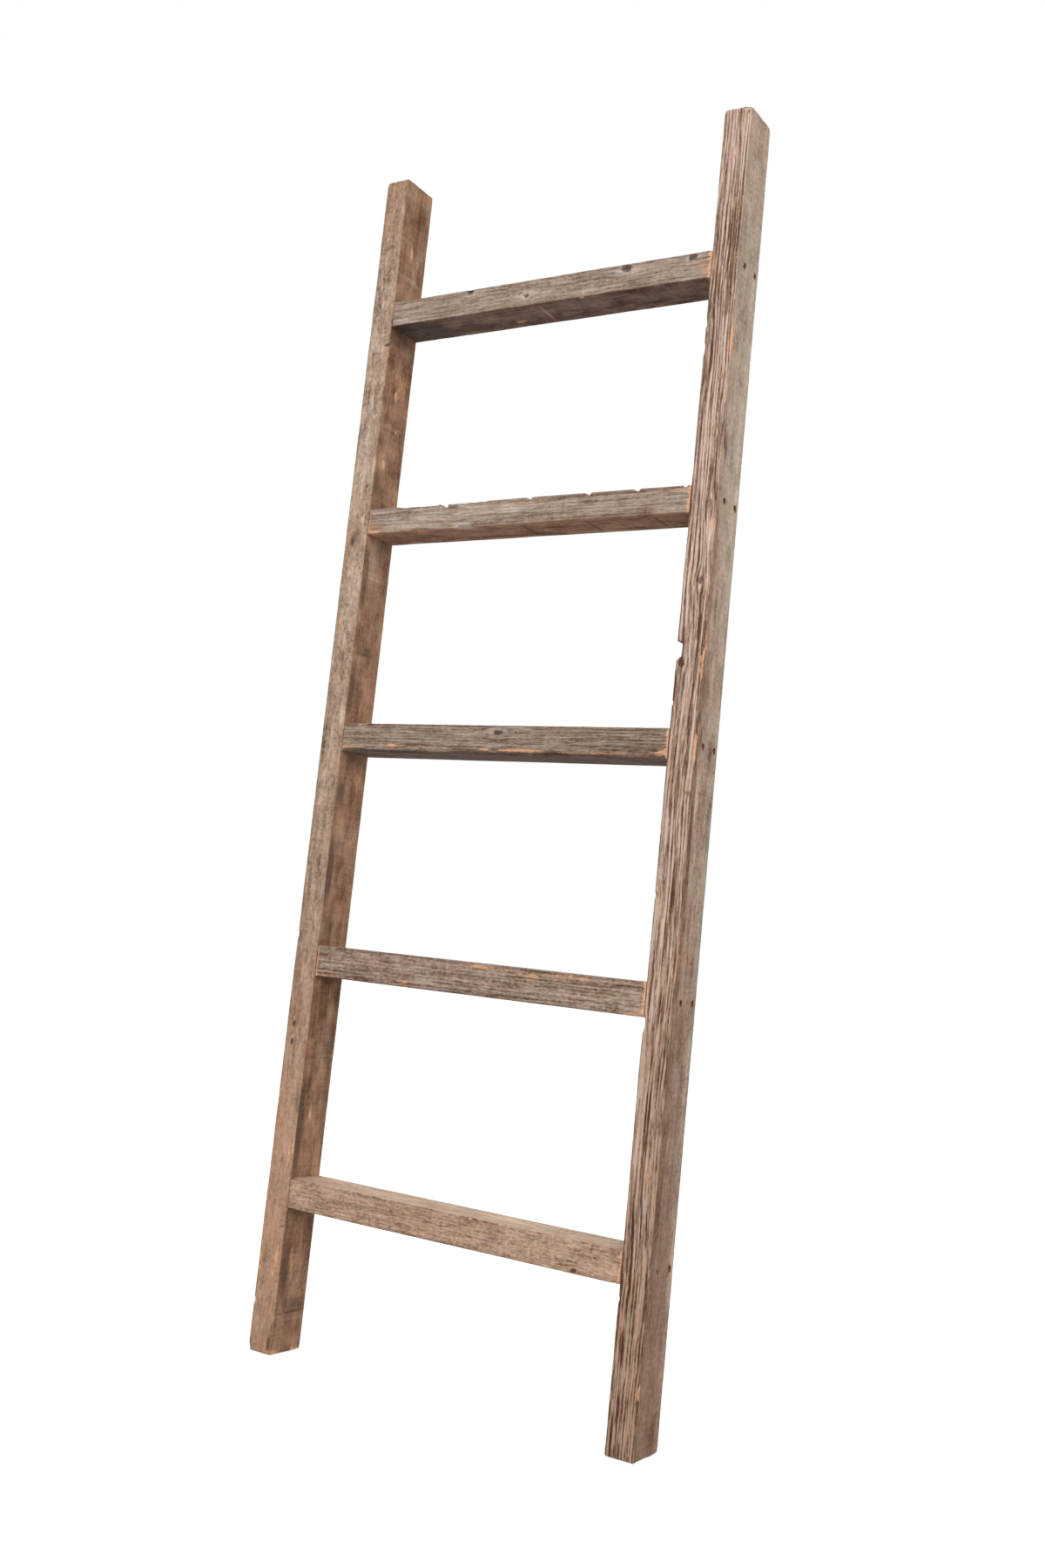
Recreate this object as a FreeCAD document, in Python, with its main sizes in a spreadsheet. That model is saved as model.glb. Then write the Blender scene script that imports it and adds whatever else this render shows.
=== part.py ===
import FreeCAD, Part
import os
import Sketcher

# A blanket ladder: two uprights of old wood and five rungs butted between them. Two sunk screws go
# through each upright into the end of every rung. Millimetres, +Z up along the uprights, +X across
# the ladder, +Y from its front to its back. The origin is on the floor, midway between the uprights
# and halfway through their depth.

RUNG_COUNT = 5
SIDES = {"left": -1, "right": 1}
ROWS = ("front", "back")

# Driving sizes, each of which can be changed by itself.
DRIVING_SIZES = {
    # The whole ladder, and the sections of its boards. Each rung was sawn to a height of its own.
    "ladder_height": 1676,
    "ladder_width": 580,
    "stile_thickness": 38,
    "stile_depth": 64,
    "rung_depth": 64,
    "rung_1_height": 39.5,
    "rung_2_height": 42.5,
    "rung_3_height": 39.5,
    "rung_4_height": 36.5,
    "rung_5_height": 38,
    "edge_radius": 1.5,
    # From the floor to the lowest rung's middle, and from the highest rung's middle to the top.
    "first_rung_rise": 212,
    "last_rung_drop": 212,
    # A screw, its whole length from its head's top to its tip.
    "screw_length": 75,
    "screw_tip_length": 7,
    "shank_diameter": 4.2,
    "head_diameter": 6.4,
    "head_height": 3.2,
    "drive_width": 2.4,
    "drive_depth": 2,
    # How far the head's top lies below the wood, and the two rows' distances from the faces.
    "screw_sink": 4,
    "front_screw_inset": 21,
    "back_screw_inset": 10,
    # Clearances: two all round the screw, and one past its tip.
    "shank_clearance": 0.15,
    "head_clearance": 0.3,
    "tip_clearance": 1,
}

# Sizes that follow from the driving ones. A row of screws is placed from the front face, and lies
# in the shallower of the two pieces that it joins. A screw's place is that of its head's top.
DERIVED_SIZES = {
    "rung_length": "=ladder_width - 2 * stile_thickness",
    "rung_pitch": f"=(ladder_height - first_rung_rise - last_rung_drop) / {RUNG_COUNT - 1}",
    "front_face": "=-max(stile_depth; rung_depth) / 2",
    "stile_centre": "=(ladder_width - stile_thickness) / 2",
    "front_row": "=front_screw_inset",
    "back_row": "=min(stile_depth; rung_depth) - back_screw_inset",
    "screw_place": "=ladder_width / 2 - screw_sink",
    "recess_depth": "=screw_sink + head_height",
    "recess_radius": "=head_diameter / 2 + head_clearance",
    "bore_radius": "=shank_diameter / 2 + shank_clearance",
    "pilot_depth": "=screw_sink + screw_length - stile_thickness + tip_clearance",
}

# A rectangle's corners, in the order in which its sides start at them.
CORNERS = ("lower_left", "lower_right", "upper_right", "upper_left")

CUT_TYPES = ("PartDesign::Pocket", "PartDesign::LinearPattern", "PartDesign::Mirrored")
FIRST_GUESS = 1  # where a constraint starts before the sheet's own size reaches it
PARALLEL = 0.01  # the most that an edge's direction may stray from an axis
LEAST_CUT = 1  # cubic millimetres that any cut has to take away


def add_sheet(doc):
    sheet = doc.addObject("Spreadsheet::Sheet", "Sizes")
    rows = list(DRIVING_SIZES.items()) + list(DERIVED_SIZES.items())
    for row, (alias, value) in enumerate(rows, start=1):
        sheet.set(f"A{row}", alias)
        sheet.set(f"B{row}", str(value))
        sheet.setAlias(f"B{row}", alias)
    doc.recompute()


def size(name):
    return f"<<Sizes>>.{name}"


def rung_rise(number):
    """The height of a rung's centre above the floor. Rungs count from 1, upwards."""
    return f"{size('first_rung_rise')} + {number - 1} * {size('rung_pitch')}"


def add_body(doc, label):
    body = doc.addObject("PartDesign::Body", label)
    body.Label = label
    return body


def place(body, x, y, z, rotation=FreeCAD.Rotation()):
    body.Placement = FreeCAD.Placement(FreeCAD.Vector(), rotation)
    for axis, expression in zip("xyz", (x, y, z)):
        body.setExpression(f"Placement.Base.{axis}", expression)


def origin_part(body, role):
    return next(part for part in body.Origin.OriginFeatures if part.Role == role)


def add_sketch(body, name, plane, rise="0"):
    """A sketch on one of the body's origin planes, or at a rise above it."""
    sketch = body.newObject("Sketcher::SketchObject", name)
    sketch.AttachmentSupport = [(origin_part(body, plane), "")]
    sketch.MapMode = "FlatFace"
    sketch.setExpression("AttachmentOffset.Base.z", rise)
    return sketch


def constrain(sketch, expression, kind, *places):
    """Adds a constraint whose size comes from the sheet."""
    index = sketch.addConstraint(Sketcher.Constraint(kind, *places, FIRST_GUESS))
    sketch.setExpression(f"Constraints[{index}]", expression)


def add_outline(sketch, points):
    """A closed outline of straight lines. Returns the lines, each starting at its point."""
    ends = [FreeCAD.Vector(x, y, 0) for x, y in points]
    lines = [
        sketch.addGeometry(Part.LineSegment(start, end))
        for start, end in zip(ends, ends[1:] + ends[:1])
    ]
    for line, following in zip(lines, lines[1:] + lines[:1]):
        sketch.addConstraint(Sketcher.Constraint("Coincident", line, 2, following, 1))
    return lines


def add_rectangle(sketch, width, height, first, second):
    """A rectangle whose first and second named corners lie evenly about the sketch's origin."""
    lines = add_outline(sketch, [(-1, -1), (1, -1), (1, 1), (-1, 1)])
    bottom, right, top, left = lines
    for line in (bottom, top):
        sketch.addConstraint(Sketcher.Constraint("Horizontal", line))
    for line in (left, right):
        sketch.addConstraint(Sketcher.Constraint("Vertical", line))
    pair = [lines[CORNERS.index(corner)] for corner in (first, second)]
    sketch.addConstraint(Sketcher.Constraint("Symmetric", pair[0], 1, pair[1], 1, -1, 1))
    constrain(sketch, width, "DistanceX", bottom, 1, bottom, 2)
    constrain(sketch, height, "DistanceY", right, 1, right, 2)


def add_row_circles(sketch, radius, height):
    """One circle for each row of screws, all at one height above the sketch's origin."""
    for row in ROWS:
        shape = Part.Circle(FreeCAD.Vector(1, 1, 0), FreeCAD.Vector(0, 0, 1), 1)
        circle = sketch.addGeometry(shape)
        constrain(sketch, size(radius), "Radius", circle)
        constrain(sketch, size(f"{row}_row"), "DistanceX", -1, 1, circle, 3)
        if height:
            constrain(sketch, height, "DistanceY", -1, 1, circle, 3)
        else:
            sketch.addConstraint(Sketcher.Constraint("PointOnObject", circle, 3, -1))


def add_pad(body, name, sketch, length):
    pad = body.newObject("PartDesign::Pad", name)
    pad.Profile = sketch
    pad.setExpression("Length", length)
    return pad


def add_pocket(body, name, sketch, depth, reverse=False):
    """Cuts down from the sketch's plane, or up from it if reversed."""
    pocket = body.newObject("PartDesign::Pocket", name)
    pocket.Profile = sketch
    pocket.Reversed = reverse
    pocket.setExpression("Length", depth)
    return pocket


def ease_long_edges(body, base, direction):
    """Rounds the edges of the base that run along one direction."""
    body.Document.recompute()
    along = [
        f"Edge{number}"
        for number, edge in enumerate(base.Shape.Edges, start=1)
        if edge.tangentAt(edge.FirstParameter).cross(direction).Length < PARALLEL
    ]
    fillet = body.newObject("PartDesign::Fillet", "EasedEdges")
    fillet.Base = (base, along)
    fillet.setExpression("Radius", size("edge_radius"))


def add_stile(doc, side):
    """An upright, with a stepped screw hole through it at each row of every rung."""
    outward = SIDES[side]
    body = add_body(doc, f"stile_{side}")
    section = add_sketch(body, "Section", "XY_Plane")
    across, deep = size("stile_thickness"), size("stile_depth")
    add_rectangle(section, across, deep, "lower_left", "lower_right")
    board = add_pad(body, "Board", section, size("ladder_height"))
    ease_long_edges(body, board, FreeCAD.Vector(0, 0, 1))

    outer_face = f"{outward} * {size('stile_thickness')} / 2"
    bore_circles = add_sketch(body, "BoreCircles", "YZ_Plane", outer_face)
    add_row_circles(bore_circles, "bore_radius", rung_rise(1))
    inward = outward < 0
    bores = add_pocket(body, "ShankBores", bore_circles, size("stile_thickness"), inward)
    recess_circles = add_sketch(body, "RecessCircles", "YZ_Plane", outer_face)
    add_row_circles(recess_circles, "recess_radius", rung_rise(1))
    recesses = add_pocket(body, "HeadRecesses", recess_circles, size("recess_depth"), inward)

    joints = body.newObject("PartDesign::LinearPattern", "Joints")
    joints.Originals = [bores, recesses]
    joints.Direction = (origin_part(body, "Z_Axis"), [""])
    joints.Occurrences = RUNG_COUNT
    joints.setExpression("Length", f"{RUNG_COUNT - 1} * {size('rung_pitch')}")
    body.Tip = joints
    place(body, f"{outward} * {size('stile_centre')}", size("front_face"), "0")
    return body


def add_rung(doc, number):
    """A rung, with a pilot hole into each end at each row of screws."""
    body = add_body(doc, f"rung_{number}")
    section = add_sketch(body, "Section", "YZ_Plane")
    deep, high = size("rung_depth"), size(f"rung_{number}_height")
    add_rectangle(section, deep, high, "lower_left", "upper_left")
    board = add_pad(body, "Board", section, size("rung_length"))
    board.SideType = "Symmetric"
    ease_long_edges(body, board, FreeCAD.Vector(1, 0, 0))

    pilot_circles = add_sketch(body, "PilotCircles", "YZ_Plane", f"{size('rung_length')} / 2")
    add_row_circles(pilot_circles, "bore_radius", None)
    pilots = add_pocket(body, "PilotHoles", pilot_circles, size("pilot_depth"))
    both_ends = body.newObject("PartDesign::Mirrored", "BothEnds")
    both_ends.Originals = [pilots]
    both_ends.MirrorPlane = (origin_part(body, "YZ_Plane"), [""])
    body.Tip = both_ends
    place(body, "0", size("front_face"), rung_rise(number))
    return body


def add_screw(doc, number, side, row):
    """A wood screw with a small straight head. Its head's top is at its own origin, tip down."""
    body = add_body(doc, f"screw_{number}_{side}_{row}")
    profile = add_sketch(body, "HalfProfile", "XZ_Plane")
    rough_shape = [(0, 0), (3, 0), (3, -3), (2, -3), (2, -60), (0, -70)]
    top, head_side, seat, shank, tip, axis = add_outline(profile, rough_shape)
    profile.addConstraint(Sketcher.Constraint("Coincident", top, 1, -1, 1))
    for line in (top, seat):
        profile.addConstraint(Sketcher.Constraint("Horizontal", line))
    for line in (head_side, shank, axis):
        profile.addConstraint(Sketcher.Constraint("Vertical", line))
    to_shank_end = f"{size('screw_length')} - {size('screw_tip_length')}"
    constrain(profile, f"{size('head_diameter')} / 2", "DistanceX", top, 1, top, 2)
    constrain(profile, f"{size('shank_diameter')} / 2", "DistanceX", top, 1, shank, 1)
    constrain(profile, size("head_height"), "DistanceY", head_side, 2, top, 1)
    constrain(profile, to_shank_end, "DistanceY", shank, 2, top, 1)
    constrain(profile, size("screw_length"), "DistanceY", tip, 2, top, 1)
    turned = body.newObject("PartDesign::Revolution", "Turned")
    turned.Profile = profile
    turned.ReferenceAxis = (profile, ["V_Axis"])
    turned.Angle = 360

    square = add_sketch(body, "DriveSquare", "XY_Plane")
    across = size("drive_width")
    add_rectangle(square, across, across, "lower_left", "upper_right")
    add_pocket(body, "Drive", square, size("drive_depth"))
    outward = SIDES[side]
    along_x = FreeCAD.Rotation(FreeCAD.Vector(0, 1, 0), 90 * outward)
    row_place = f"{size('front_face')} + {size(f'{row}_row')}"
    place(body, f"{outward} * {size('screw_place')}", row_place, rung_rise(number), along_x)
    return body


def check(doc, bodies):
    """Stops if any object failed, any piece isn't one good solid, or any cut took nothing away."""
    for item in doc.Objects:
        if "Invalid" in item.State or "Error" in item.State:
            raise RuntimeError(f"{item.Label} failed: {item.State}")
        if item.TypeId in CUT_TYPES:
            if item.Shape.Volume > item.BaseFeature.Shape.Volume - LEAST_CUT:
                raise RuntimeError(f"{item.Label} cuts nothing")
    for body in bodies:
        if body.Shape.isNull() or not body.Shape.isValid() or len(body.Shape.Solids) != 1:
            raise RuntimeError(f"{body.Label} isn't one good solid")


def main():
    doc = FreeCAD.newDocument("BlanketLadder")
    add_sheet(doc)
    bodies = [add_stile(doc, side) for side in SIDES]
    for number in range(1, RUNG_COUNT + 1):
        bodies.append(add_rung(doc, number))
        for side in SIDES:
            for row in ROWS:
                bodies.append(add_screw(doc, number, side, row))
    doc.recompute()
    check(doc, bodies)
    os.makedirs("parts", exist_ok=True)
    for body in bodies:
        body.Shape.exportStep(f"parts/{body.Label}.step")
    print(f"wrote {len(bodies)} pieces")


main()
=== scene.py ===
"""A weathered wooden blanket ladder: two uprights and five rungs, each a worn and knotty board.

Sizes are in millimetres until a mesh is made. X runs across the ladder, Y from its front to its back and
Z up. A place on a board's face is given as (along, across). Along is a height above the floor on an upright
and a distance from the ladder's middle on a rung. Across is the distance from that edge of the face that is
lowest on the other axis.
"""

import itertools
import math
from collections import namedtuple

import bpy
import numpy as np
from mathutils import Euler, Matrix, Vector


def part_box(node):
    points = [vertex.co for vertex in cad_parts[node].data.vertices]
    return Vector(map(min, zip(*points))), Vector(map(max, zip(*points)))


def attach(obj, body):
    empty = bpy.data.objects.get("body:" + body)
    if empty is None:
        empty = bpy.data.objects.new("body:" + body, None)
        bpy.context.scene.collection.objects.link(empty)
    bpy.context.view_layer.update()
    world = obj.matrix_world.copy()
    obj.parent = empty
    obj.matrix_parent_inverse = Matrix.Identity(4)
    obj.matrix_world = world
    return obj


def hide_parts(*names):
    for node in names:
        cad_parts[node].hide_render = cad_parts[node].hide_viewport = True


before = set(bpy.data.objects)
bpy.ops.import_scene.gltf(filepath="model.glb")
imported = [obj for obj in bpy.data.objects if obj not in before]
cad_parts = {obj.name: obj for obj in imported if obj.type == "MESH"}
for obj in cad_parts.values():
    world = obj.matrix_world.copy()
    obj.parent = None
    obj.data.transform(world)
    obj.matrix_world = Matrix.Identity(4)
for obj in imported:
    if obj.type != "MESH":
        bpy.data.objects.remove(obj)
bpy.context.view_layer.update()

MM = 0.001
X, Y, Z = 0, 1, 2
LEFT, RIGHT = (X, -1), (X, 1)
FRONT, BACK = (Y, -1), (Y, 1)
BOTTOM, TOP = (Z, -1), (Z, 1)
# A board's long edges, by the signs of the two faces that meet there: one across the board, one in Y.
LOW_FRONT, HIGH_FRONT = (-1, -1), (1, -1)
LOW_BACK, HIGH_BACK = (-1, 1), (1, 1)
RUNG_COUNT = 5

# --- what is on a board ----------------------------------------------------------------------------------

# A knot: its place, the radius of its eye and how much longer the eye is along the grain, how deep it
# reaches, how far it is sunk and how plain the eye is, down to 0 where only the grain swirls.
Knot = namedtuple("Knot", "face along across radius stretch reach dent eye", defaults=(1.0,))
# A piece broken or worn off a long edge: where it starts and ends, how far each end takes to reach full
# depth, how far it goes in across the board and in Y, and how fresh the wood under it is.
Chip = namedtuple("Chip", "edge start end ramp_in ramp_out deep_across deep_back fresh")
# A soft patch on a face: fresh wood; a dark patch, which is a stain on most faces and painted shade where
# marked below; pale dry wood, which is painted light on rung 1's top and painted shade on some undersides;
# warm brown wood; or wood cut by deeper grooves. A negative strength makes pale wood darker and warm
# wood greyer.
Patch = namedtuple("Patch", "kind face along across half_along half_across strength")
PATCH_KINDS = ("fresh", "stain", "pale", "warm", "cut")
# A screw hole in a face: the place of its middle, the radius of its mouth, how much longer the mouth is
# along the grain and how ragged it is.
Hole = namedtuple("Hole", "face along across mouth stretch ragged")
# How a face has weathered: the depth of its grooves, then how strongly it shows fibres, specks and clouds
# of tone and how brown it is. The last two are how much browner and how much more fibrous it gets down to
# its foot.
Finish = namedtuple("Finish", "relief lines specks clouds warm foot_warm foot_lines", defaults=(0.0, 0.0))


def patches(kind, face, *rows):
    """Patches of one kind on one face. Each row holds the other numbers of a patch."""
    return tuple(Patch(kind, face, *row) for row in rows)


def scatter(kind, face, seed, count, *limits):
    """Patches strewn over part of a face. limits are a low and a high value for each number of a patch."""
    draw = np.random.default_rng(seed)
    return tuple(Patch(kind, face, *(float(draw.uniform(*pair)) for pair in limits)) for _ in range(count))


# --- smooth noise ----------------------------------------------------------------------------------------

NOISE_VALUES = np.random.default_rng(41).uniform(-1.0, 1.0, 65536)


def lattice(cells, seed):
    """The random value that belongs to each whole-numbered cell."""
    key = cells[:, 0] * 374761393 + cells[:, 1] * 668265263 + cells[:, 2] * 1440662683 + seed * 1274126177
    key = (key ^ (key >> 13)) * 1103515245
    return NOISE_VALUES[(key ^ (key >> 16)) & 65535]


def noise(points, sizes, seed, octaves=1):
    """Smooth noise from about -1 to 1, with lumps as large as sizes on each axis."""
    total = np.zeros(len(points))
    weight, weights = 1.0, 0.0
    scaled = points / np.array(sizes, float)
    for octave in range(octaves):
        low = np.floor(scaled)
        part = scaled - low
        part = part * part * (3.0 - 2.0 * part)
        cells = low.astype(np.int64)
        for corner in itertools.product((0, 1), repeat=3):
            share = np.ones(len(points))
            for axis in range(3):
                share *= part[:, axis] if corner[axis] else 1.0 - part[:, axis]
            total += weight * share * lattice(cells + np.array(corner), seed + 97 * octave)
        weights += weight
        weight *= 0.5
        scaled = scaled * 2.03 + 11.7
    return total / weights


def noise_along(values, size, seed, octaves=1):
    """Smooth noise along one line."""
    points = np.stack([values, np.zeros_like(values), np.zeros_like(values)], axis=1)
    return noise(points, (size, 1.0, 1.0), seed, octaves)


def lumps(board, across, along):
    """Sizes for noise whose lumps have one size across a board and another along it."""
    sizes = [across, across, across]
    sizes[board.along] = along
    return sizes


def smooth(values, low, high):
    """0 below low, 1 above high and a smooth step between."""
    part = np.clip((values - low) / (high - low), 0.0, 1.0)
    return part * part * (3.0 - 2.0 * part)


# --- boards ----------------------------------------------------------------------------------------------

EDGE_STEPS = (0.45, 0.95, 1.55, 2.3, 3.3)     # grid lines this far in from each edge, to round it
END_STEPS = (0.5, 1.1, 1.9, 3.0, 4.6)         # the same at the sawn ends
USUAL_RADIUS = 1.5                            # of a worn long edge, where a board doesn't say
LEAST_RADIUS = 0.6
# How far closer lines reach: round a knot, as a share of its length, and round a hole, a chip and a patch.
KNOT_ROOM, HOLE_ROOM, CHIP_ROOM, PATCH_ROOM = 1.8, 9.0, 2.0, 1.0
SMALL_PATCH = 3.0                             # half the length below which a patch needs closer lines
CLOSE_RAMP = 12.0                             # the distance over which the lines draw together
SAMPLES = 6001                                # places at which the spacing of the lines is worked out


class Board:
    """One board, made on the box of a node of the frame.

    Its looks are the pith, which is where the tree's middle lay, across the board and in Y; ring_width, and
    wave and waver, which are how far the rings stray over long and short ways; the finish of each face; how
    far its edges and ends are worn round; what is on it; and joints, which are where other boards butt
    against it. The steps are the spacing of its grid lines: along it, along it at a detail, across it and
    in Y.
    """

    knots = chips = holes = joints = ()
    waver = 0.7
    fresh_ends = (0.0, 0.0)

    def __init__(self, node, along, across, seed, **looks):
        low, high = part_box(node)
        self.node = node
        self.low = np.array(low) / MM
        self.high = np.array(high) / MM
        self.middle = (self.low + self.high) / 2
        self.half = (self.high - self.low) / 2
        self.along = along
        self.across = across
        self.seed = seed
        for name, value in looks.items():
            setattr(self, name, value)


def grid_lines(low, high, step):
    """Places of the grid lines between two edges, closer together near the edges."""
    steps = np.array((0.0,) + EDGE_STEPS)
    count = max(2, int(round((high - low - 2 * steps[-1]) / step)))
    middle = np.linspace(low + steps[-1], high - steps[-1], count + 1)
    return np.concatenate([low + steps[:-1], middle, (high - steps[:-1])[::-1]])


def stations(board):
    """Places of the grid lines along a board, closer together round what is small on it."""
    low = board.low[board.along] + END_STEPS[-1]
    high = board.high[board.along] - END_STEPS[-1]
    spots = [(k.along, k.radius * k.stretch * KNOT_ROOM) for k in board.knots]
    spots += [(h.along, HOLE_ROOM) for h in board.holes]
    spots += [((c.start + c.end) / 2, (c.end - c.start) / 2 + CHIP_ROOM) for c in board.chips]
    spots += [(p.along, p.half_along + PATCH_ROOM) for p in board.patches if p.half_along < SMALL_PATCH]
    samples = np.linspace(low, high, SAMPLES)
    density = np.full(len(samples), 1.0 / board.step)
    for centre, half in spots:
        close = 1.0 - smooth(np.abs(samples - centre), half, half + CLOSE_RAMP)
        density = np.maximum(density, close / board.fine_step)
    total = np.concatenate([[0.0], np.cumsum((density[1:] + density[:-1]) / 2 * np.diff(samples))])
    count = int(round(total[-1]))
    inner = np.interp(np.linspace(0.0, total[-1], count + 1), total, samples)
    ends = np.array((0.0,) + END_STEPS[:-1])
    return np.concatenate([board.low[board.along] + ends, inner, (board.high[board.along] - ends)[::-1]])


def one_side(axis, side):
    """An index that takes one end of a 3-D array on one axis."""
    return tuple((0 if side < 0 else -1) if a == axis else slice(None) for a in range(3))


def box_grid(board):
    """The board's box as a grid: its lines, the index of each surface point, the points and the quads."""
    lines = [None, None, None]
    lines[board.along] = stations(board)
    lines[board.across] = grid_lines(board.low[board.across], board.high[board.across], board.front_step)
    lines[Y] = grid_lines(board.low[Y], board.high[Y], board.side_step)
    shape = tuple(len(line) for line in lines)
    skin = np.zeros(shape, bool)
    for axis in range(3):
        for side in (-1, 1):
            skin[one_side(axis, side)] = True
    index = np.full(shape, -1, np.int64)
    index[skin] = np.arange(skin.sum())
    places = np.nonzero(skin)
    points = np.stack([lines[a][places[a]] for a in range(3)], axis=1)
    quads = {}
    for axis in range(3):
        for side in (-1, 1):
            cut = index[one_side(axis, side)]
            quad = np.stack([cut[:-1, :-1], cut[1:, :-1], cut[1:, 1:], cut[:-1, 1:]], axis=2)
            turned = (side > 0) != (axis == Y)
            quads[(axis, side)] = quad if turned else quad[:, :, ::-1]
    return lines, index, points, quads


def across_axis(board, face):
    """The axis that runs across a long face of the board."""
    return Y if face[0] != Y else board.across


def edge_radius_at(board, base, side):
    """How far each point's nearest long edge is worn round."""
    along = base[:, board.along]
    radius = np.zeros(len(base))
    for sp in (-1, 1):
        for sq in (-1, 1):
            mine = (side[:, board.across] == sp) & (side[:, Y] == sq)
            seed = board.seed + 7 * sp + 13 * sq
            swing = noise_along(along[mine], 37.0, seed, 3)
            small = noise_along(along[mine], 9.0, seed + 3, 2)
            radius[mine] = board.edge_radius.get((sp, sq), USUAL_RADIUS) * (1.0 + 0.55 * swing + 0.3 * small)
    return np.maximum(radius, LEAST_RADIUS)


def round_off(board, base, side, near):
    """Rounds the edges and ends. Returns each point's new distances in from the faces, and its normal."""
    radius = edge_radius_at(board, base, side)
    end_radius = board.end_radius * (1.0 + 0.5 * noise(base, lumps(board, 9.0, 9.0), board.seed + 51, 2))
    end_share = np.exp(-((near[:, board.along] / (2.0 * board.end_radius)) ** 2))
    radius = radius + (end_radius - radius) * end_share
    inset = np.maximum(radius[:, None] - near, 0.0)
    length = np.maximum(np.linalg.norm(inset, axis=1), 1e-6)
    rounded = radius[:, None] - inset * (radius / length)[:, None]
    return np.where(inset > 0, rounded, near), side * inset / length[:, None]


def worn_box(board, base):
    """Moves the box's points onto its worn shape. Returns places, normals, distances in and freshness."""
    a, p, q = board.along, board.across, Y
    offset = base - board.middle
    side = np.where(offset >= 0, 1.0, -1.0)
    near, normal = round_off(board, base, side, np.maximum(board.half - np.abs(offset), 0.0))
    fresh = np.zeros(len(base))
    along = base[:, a]
    for number, chip in enumerate(board.chips):
        mine = (side[:, p] == chip.edge[0]) & (side[:, q] == chip.edge[1])
        mine &= (along > chip.start) & (along < chip.end)
        if not mine.any():
            continue
        up = np.clip((along[mine] - chip.start) / chip.ramp_in, 0.0, 1.0)
        down = np.clip((chip.end - along[mine]) / chip.ramp_out, 0.0, 1.0)
        jag = noise(base[mine], lumps(board, 2.5, 9.0), board.seed + number, 2)
        profile = np.minimum(up, down) ** 0.7 * (1.0 + 0.22 * jag)
        depth = near[mine][:, p] / chip.deep_across + near[mine][:, q] / chip.deep_back
        move = np.maximum(profile - depth, 0.0) / 2
        moved = near[mine]
        moved[:, p] += move * chip.deep_across
        moved[:, q] += move * chip.deep_back
        near[mine] = moved
        patchy = 0.85 + 0.5 * noise(base[mine], lumps(board, 3.0, 11.0), 77 + number)
        fresh[mine] = np.maximum(fresh[mine], chip.fresh * patchy * smooth(move, 0.0, 0.08))
    return board.middle + side * (board.half - near), normal, near, fresh


NO_KNOT = 4.0                                 # the knot distance where there is none
TURN_SIZE = 60.0                              # how many millimetres one radian round the pith counts as
UNRULY = (450.0, 900.0)                       # heights between which an upright's grain gets more wavy


def grain_at(board, at):
    """The grain at each point.

    Returns its place out from the pith, round it and along it, the ring count, the distance from a knot in
    radii of the knot, and how far the knot is sunk.
    """
    a, p = board.along, board.across
    along = at[:, a].copy()
    place = np.stack([at[:, p] - board.middle[p], at[:, Y]], axis=1)
    knot = np.full(len(at), NO_KNOT)
    knot_depth = np.zeros(len(at))
    for k in board.knots:
        axis = across_axis(board, k.face)
        away = at[:, axis] - (board.low[axis] + k.across)
        way = along - k.along
        face_place = board.high[k.face[0]] if k.face[1] > 0 else board.low[k.face[0]]
        depth = np.abs(at[:, k.face[0]] - face_place)
        fade = np.exp(-((depth / k.reach) ** 2))
        spread = np.exp(-((way / (2.4 * k.radius * k.stretch)) ** 2) - (away / (2.2 * k.radius)) ** 2) * fade
        place[:, 0 if axis == p else 1] -= 0.8 * away * spread
        distance = np.sqrt((way / (k.radius * k.stretch)) ** 2 + (away / k.radius) ** 2) + depth / k.reach
        knot = np.minimum(knot, distance + NO_KNOT * (1.0 - k.eye))
        knot_depth = np.maximum(knot_depth, k.dent * np.exp(-((distance / 0.75) ** 2)))
    unruly = 0.35 + 0.65 * smooth(along, *UNRULY) if a == Z else 1.0
    sway = board.wave * noise(at, lumps(board, 34.0, 190.0), board.seed + 5, 2)
    sway += board.waver * unruly * noise(at, lumps(board, 10.2, 57.0), board.seed + 6, 2)
    from_pith = place - np.array(board.pith)
    radial = np.hypot(from_pith[:, 0], from_pith[:, 1]) + sway
    tangent = np.arctan2(from_pith[:, 1], from_pith[:, 0]) * TURN_SIZE
    rings = radial / board.ring_width
    rings = rings + 0.5 * noise_along(rings, 2.3, board.seed + 9, 1)
    return np.stack([radial, tangent, along], axis=1), rings, knot, knot_depth


def face_share(normal, face):
    """How much each point belongs to a face, from its normal."""
    return np.maximum(normal[:, face[0]] * face[1], 0.0) ** 2


def finish_at(board, at, normal):
    """How the wood has weathered at each point."""
    low_down = (1.0 - at[:, Z] / board.high[Z]) ** 2 if board.along == Z else 0.0
    looks = {name: np.zeros(len(at)) for name in ("relief", "lines", "specks", "clouds", "warm")}
    for face, finish in board.finish.items():
        share = face_share(normal, face)
        for name, values in looks.items():
            values += share * getattr(finish, name)
        looks["warm"] += share * finish.foot_warm * low_down
        looks["lines"] += share * finish.foot_lines * low_down
    return looks


DRIFT, BEND = 6.0, 3.0                        # how far noise moves a patch's outline and its whole length
FULL_DRIFT = 8.0                              # half the length from which a patch's ends drift fully
LONG_PATCH = 15.0                             # half the length from which a patch bends


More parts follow.
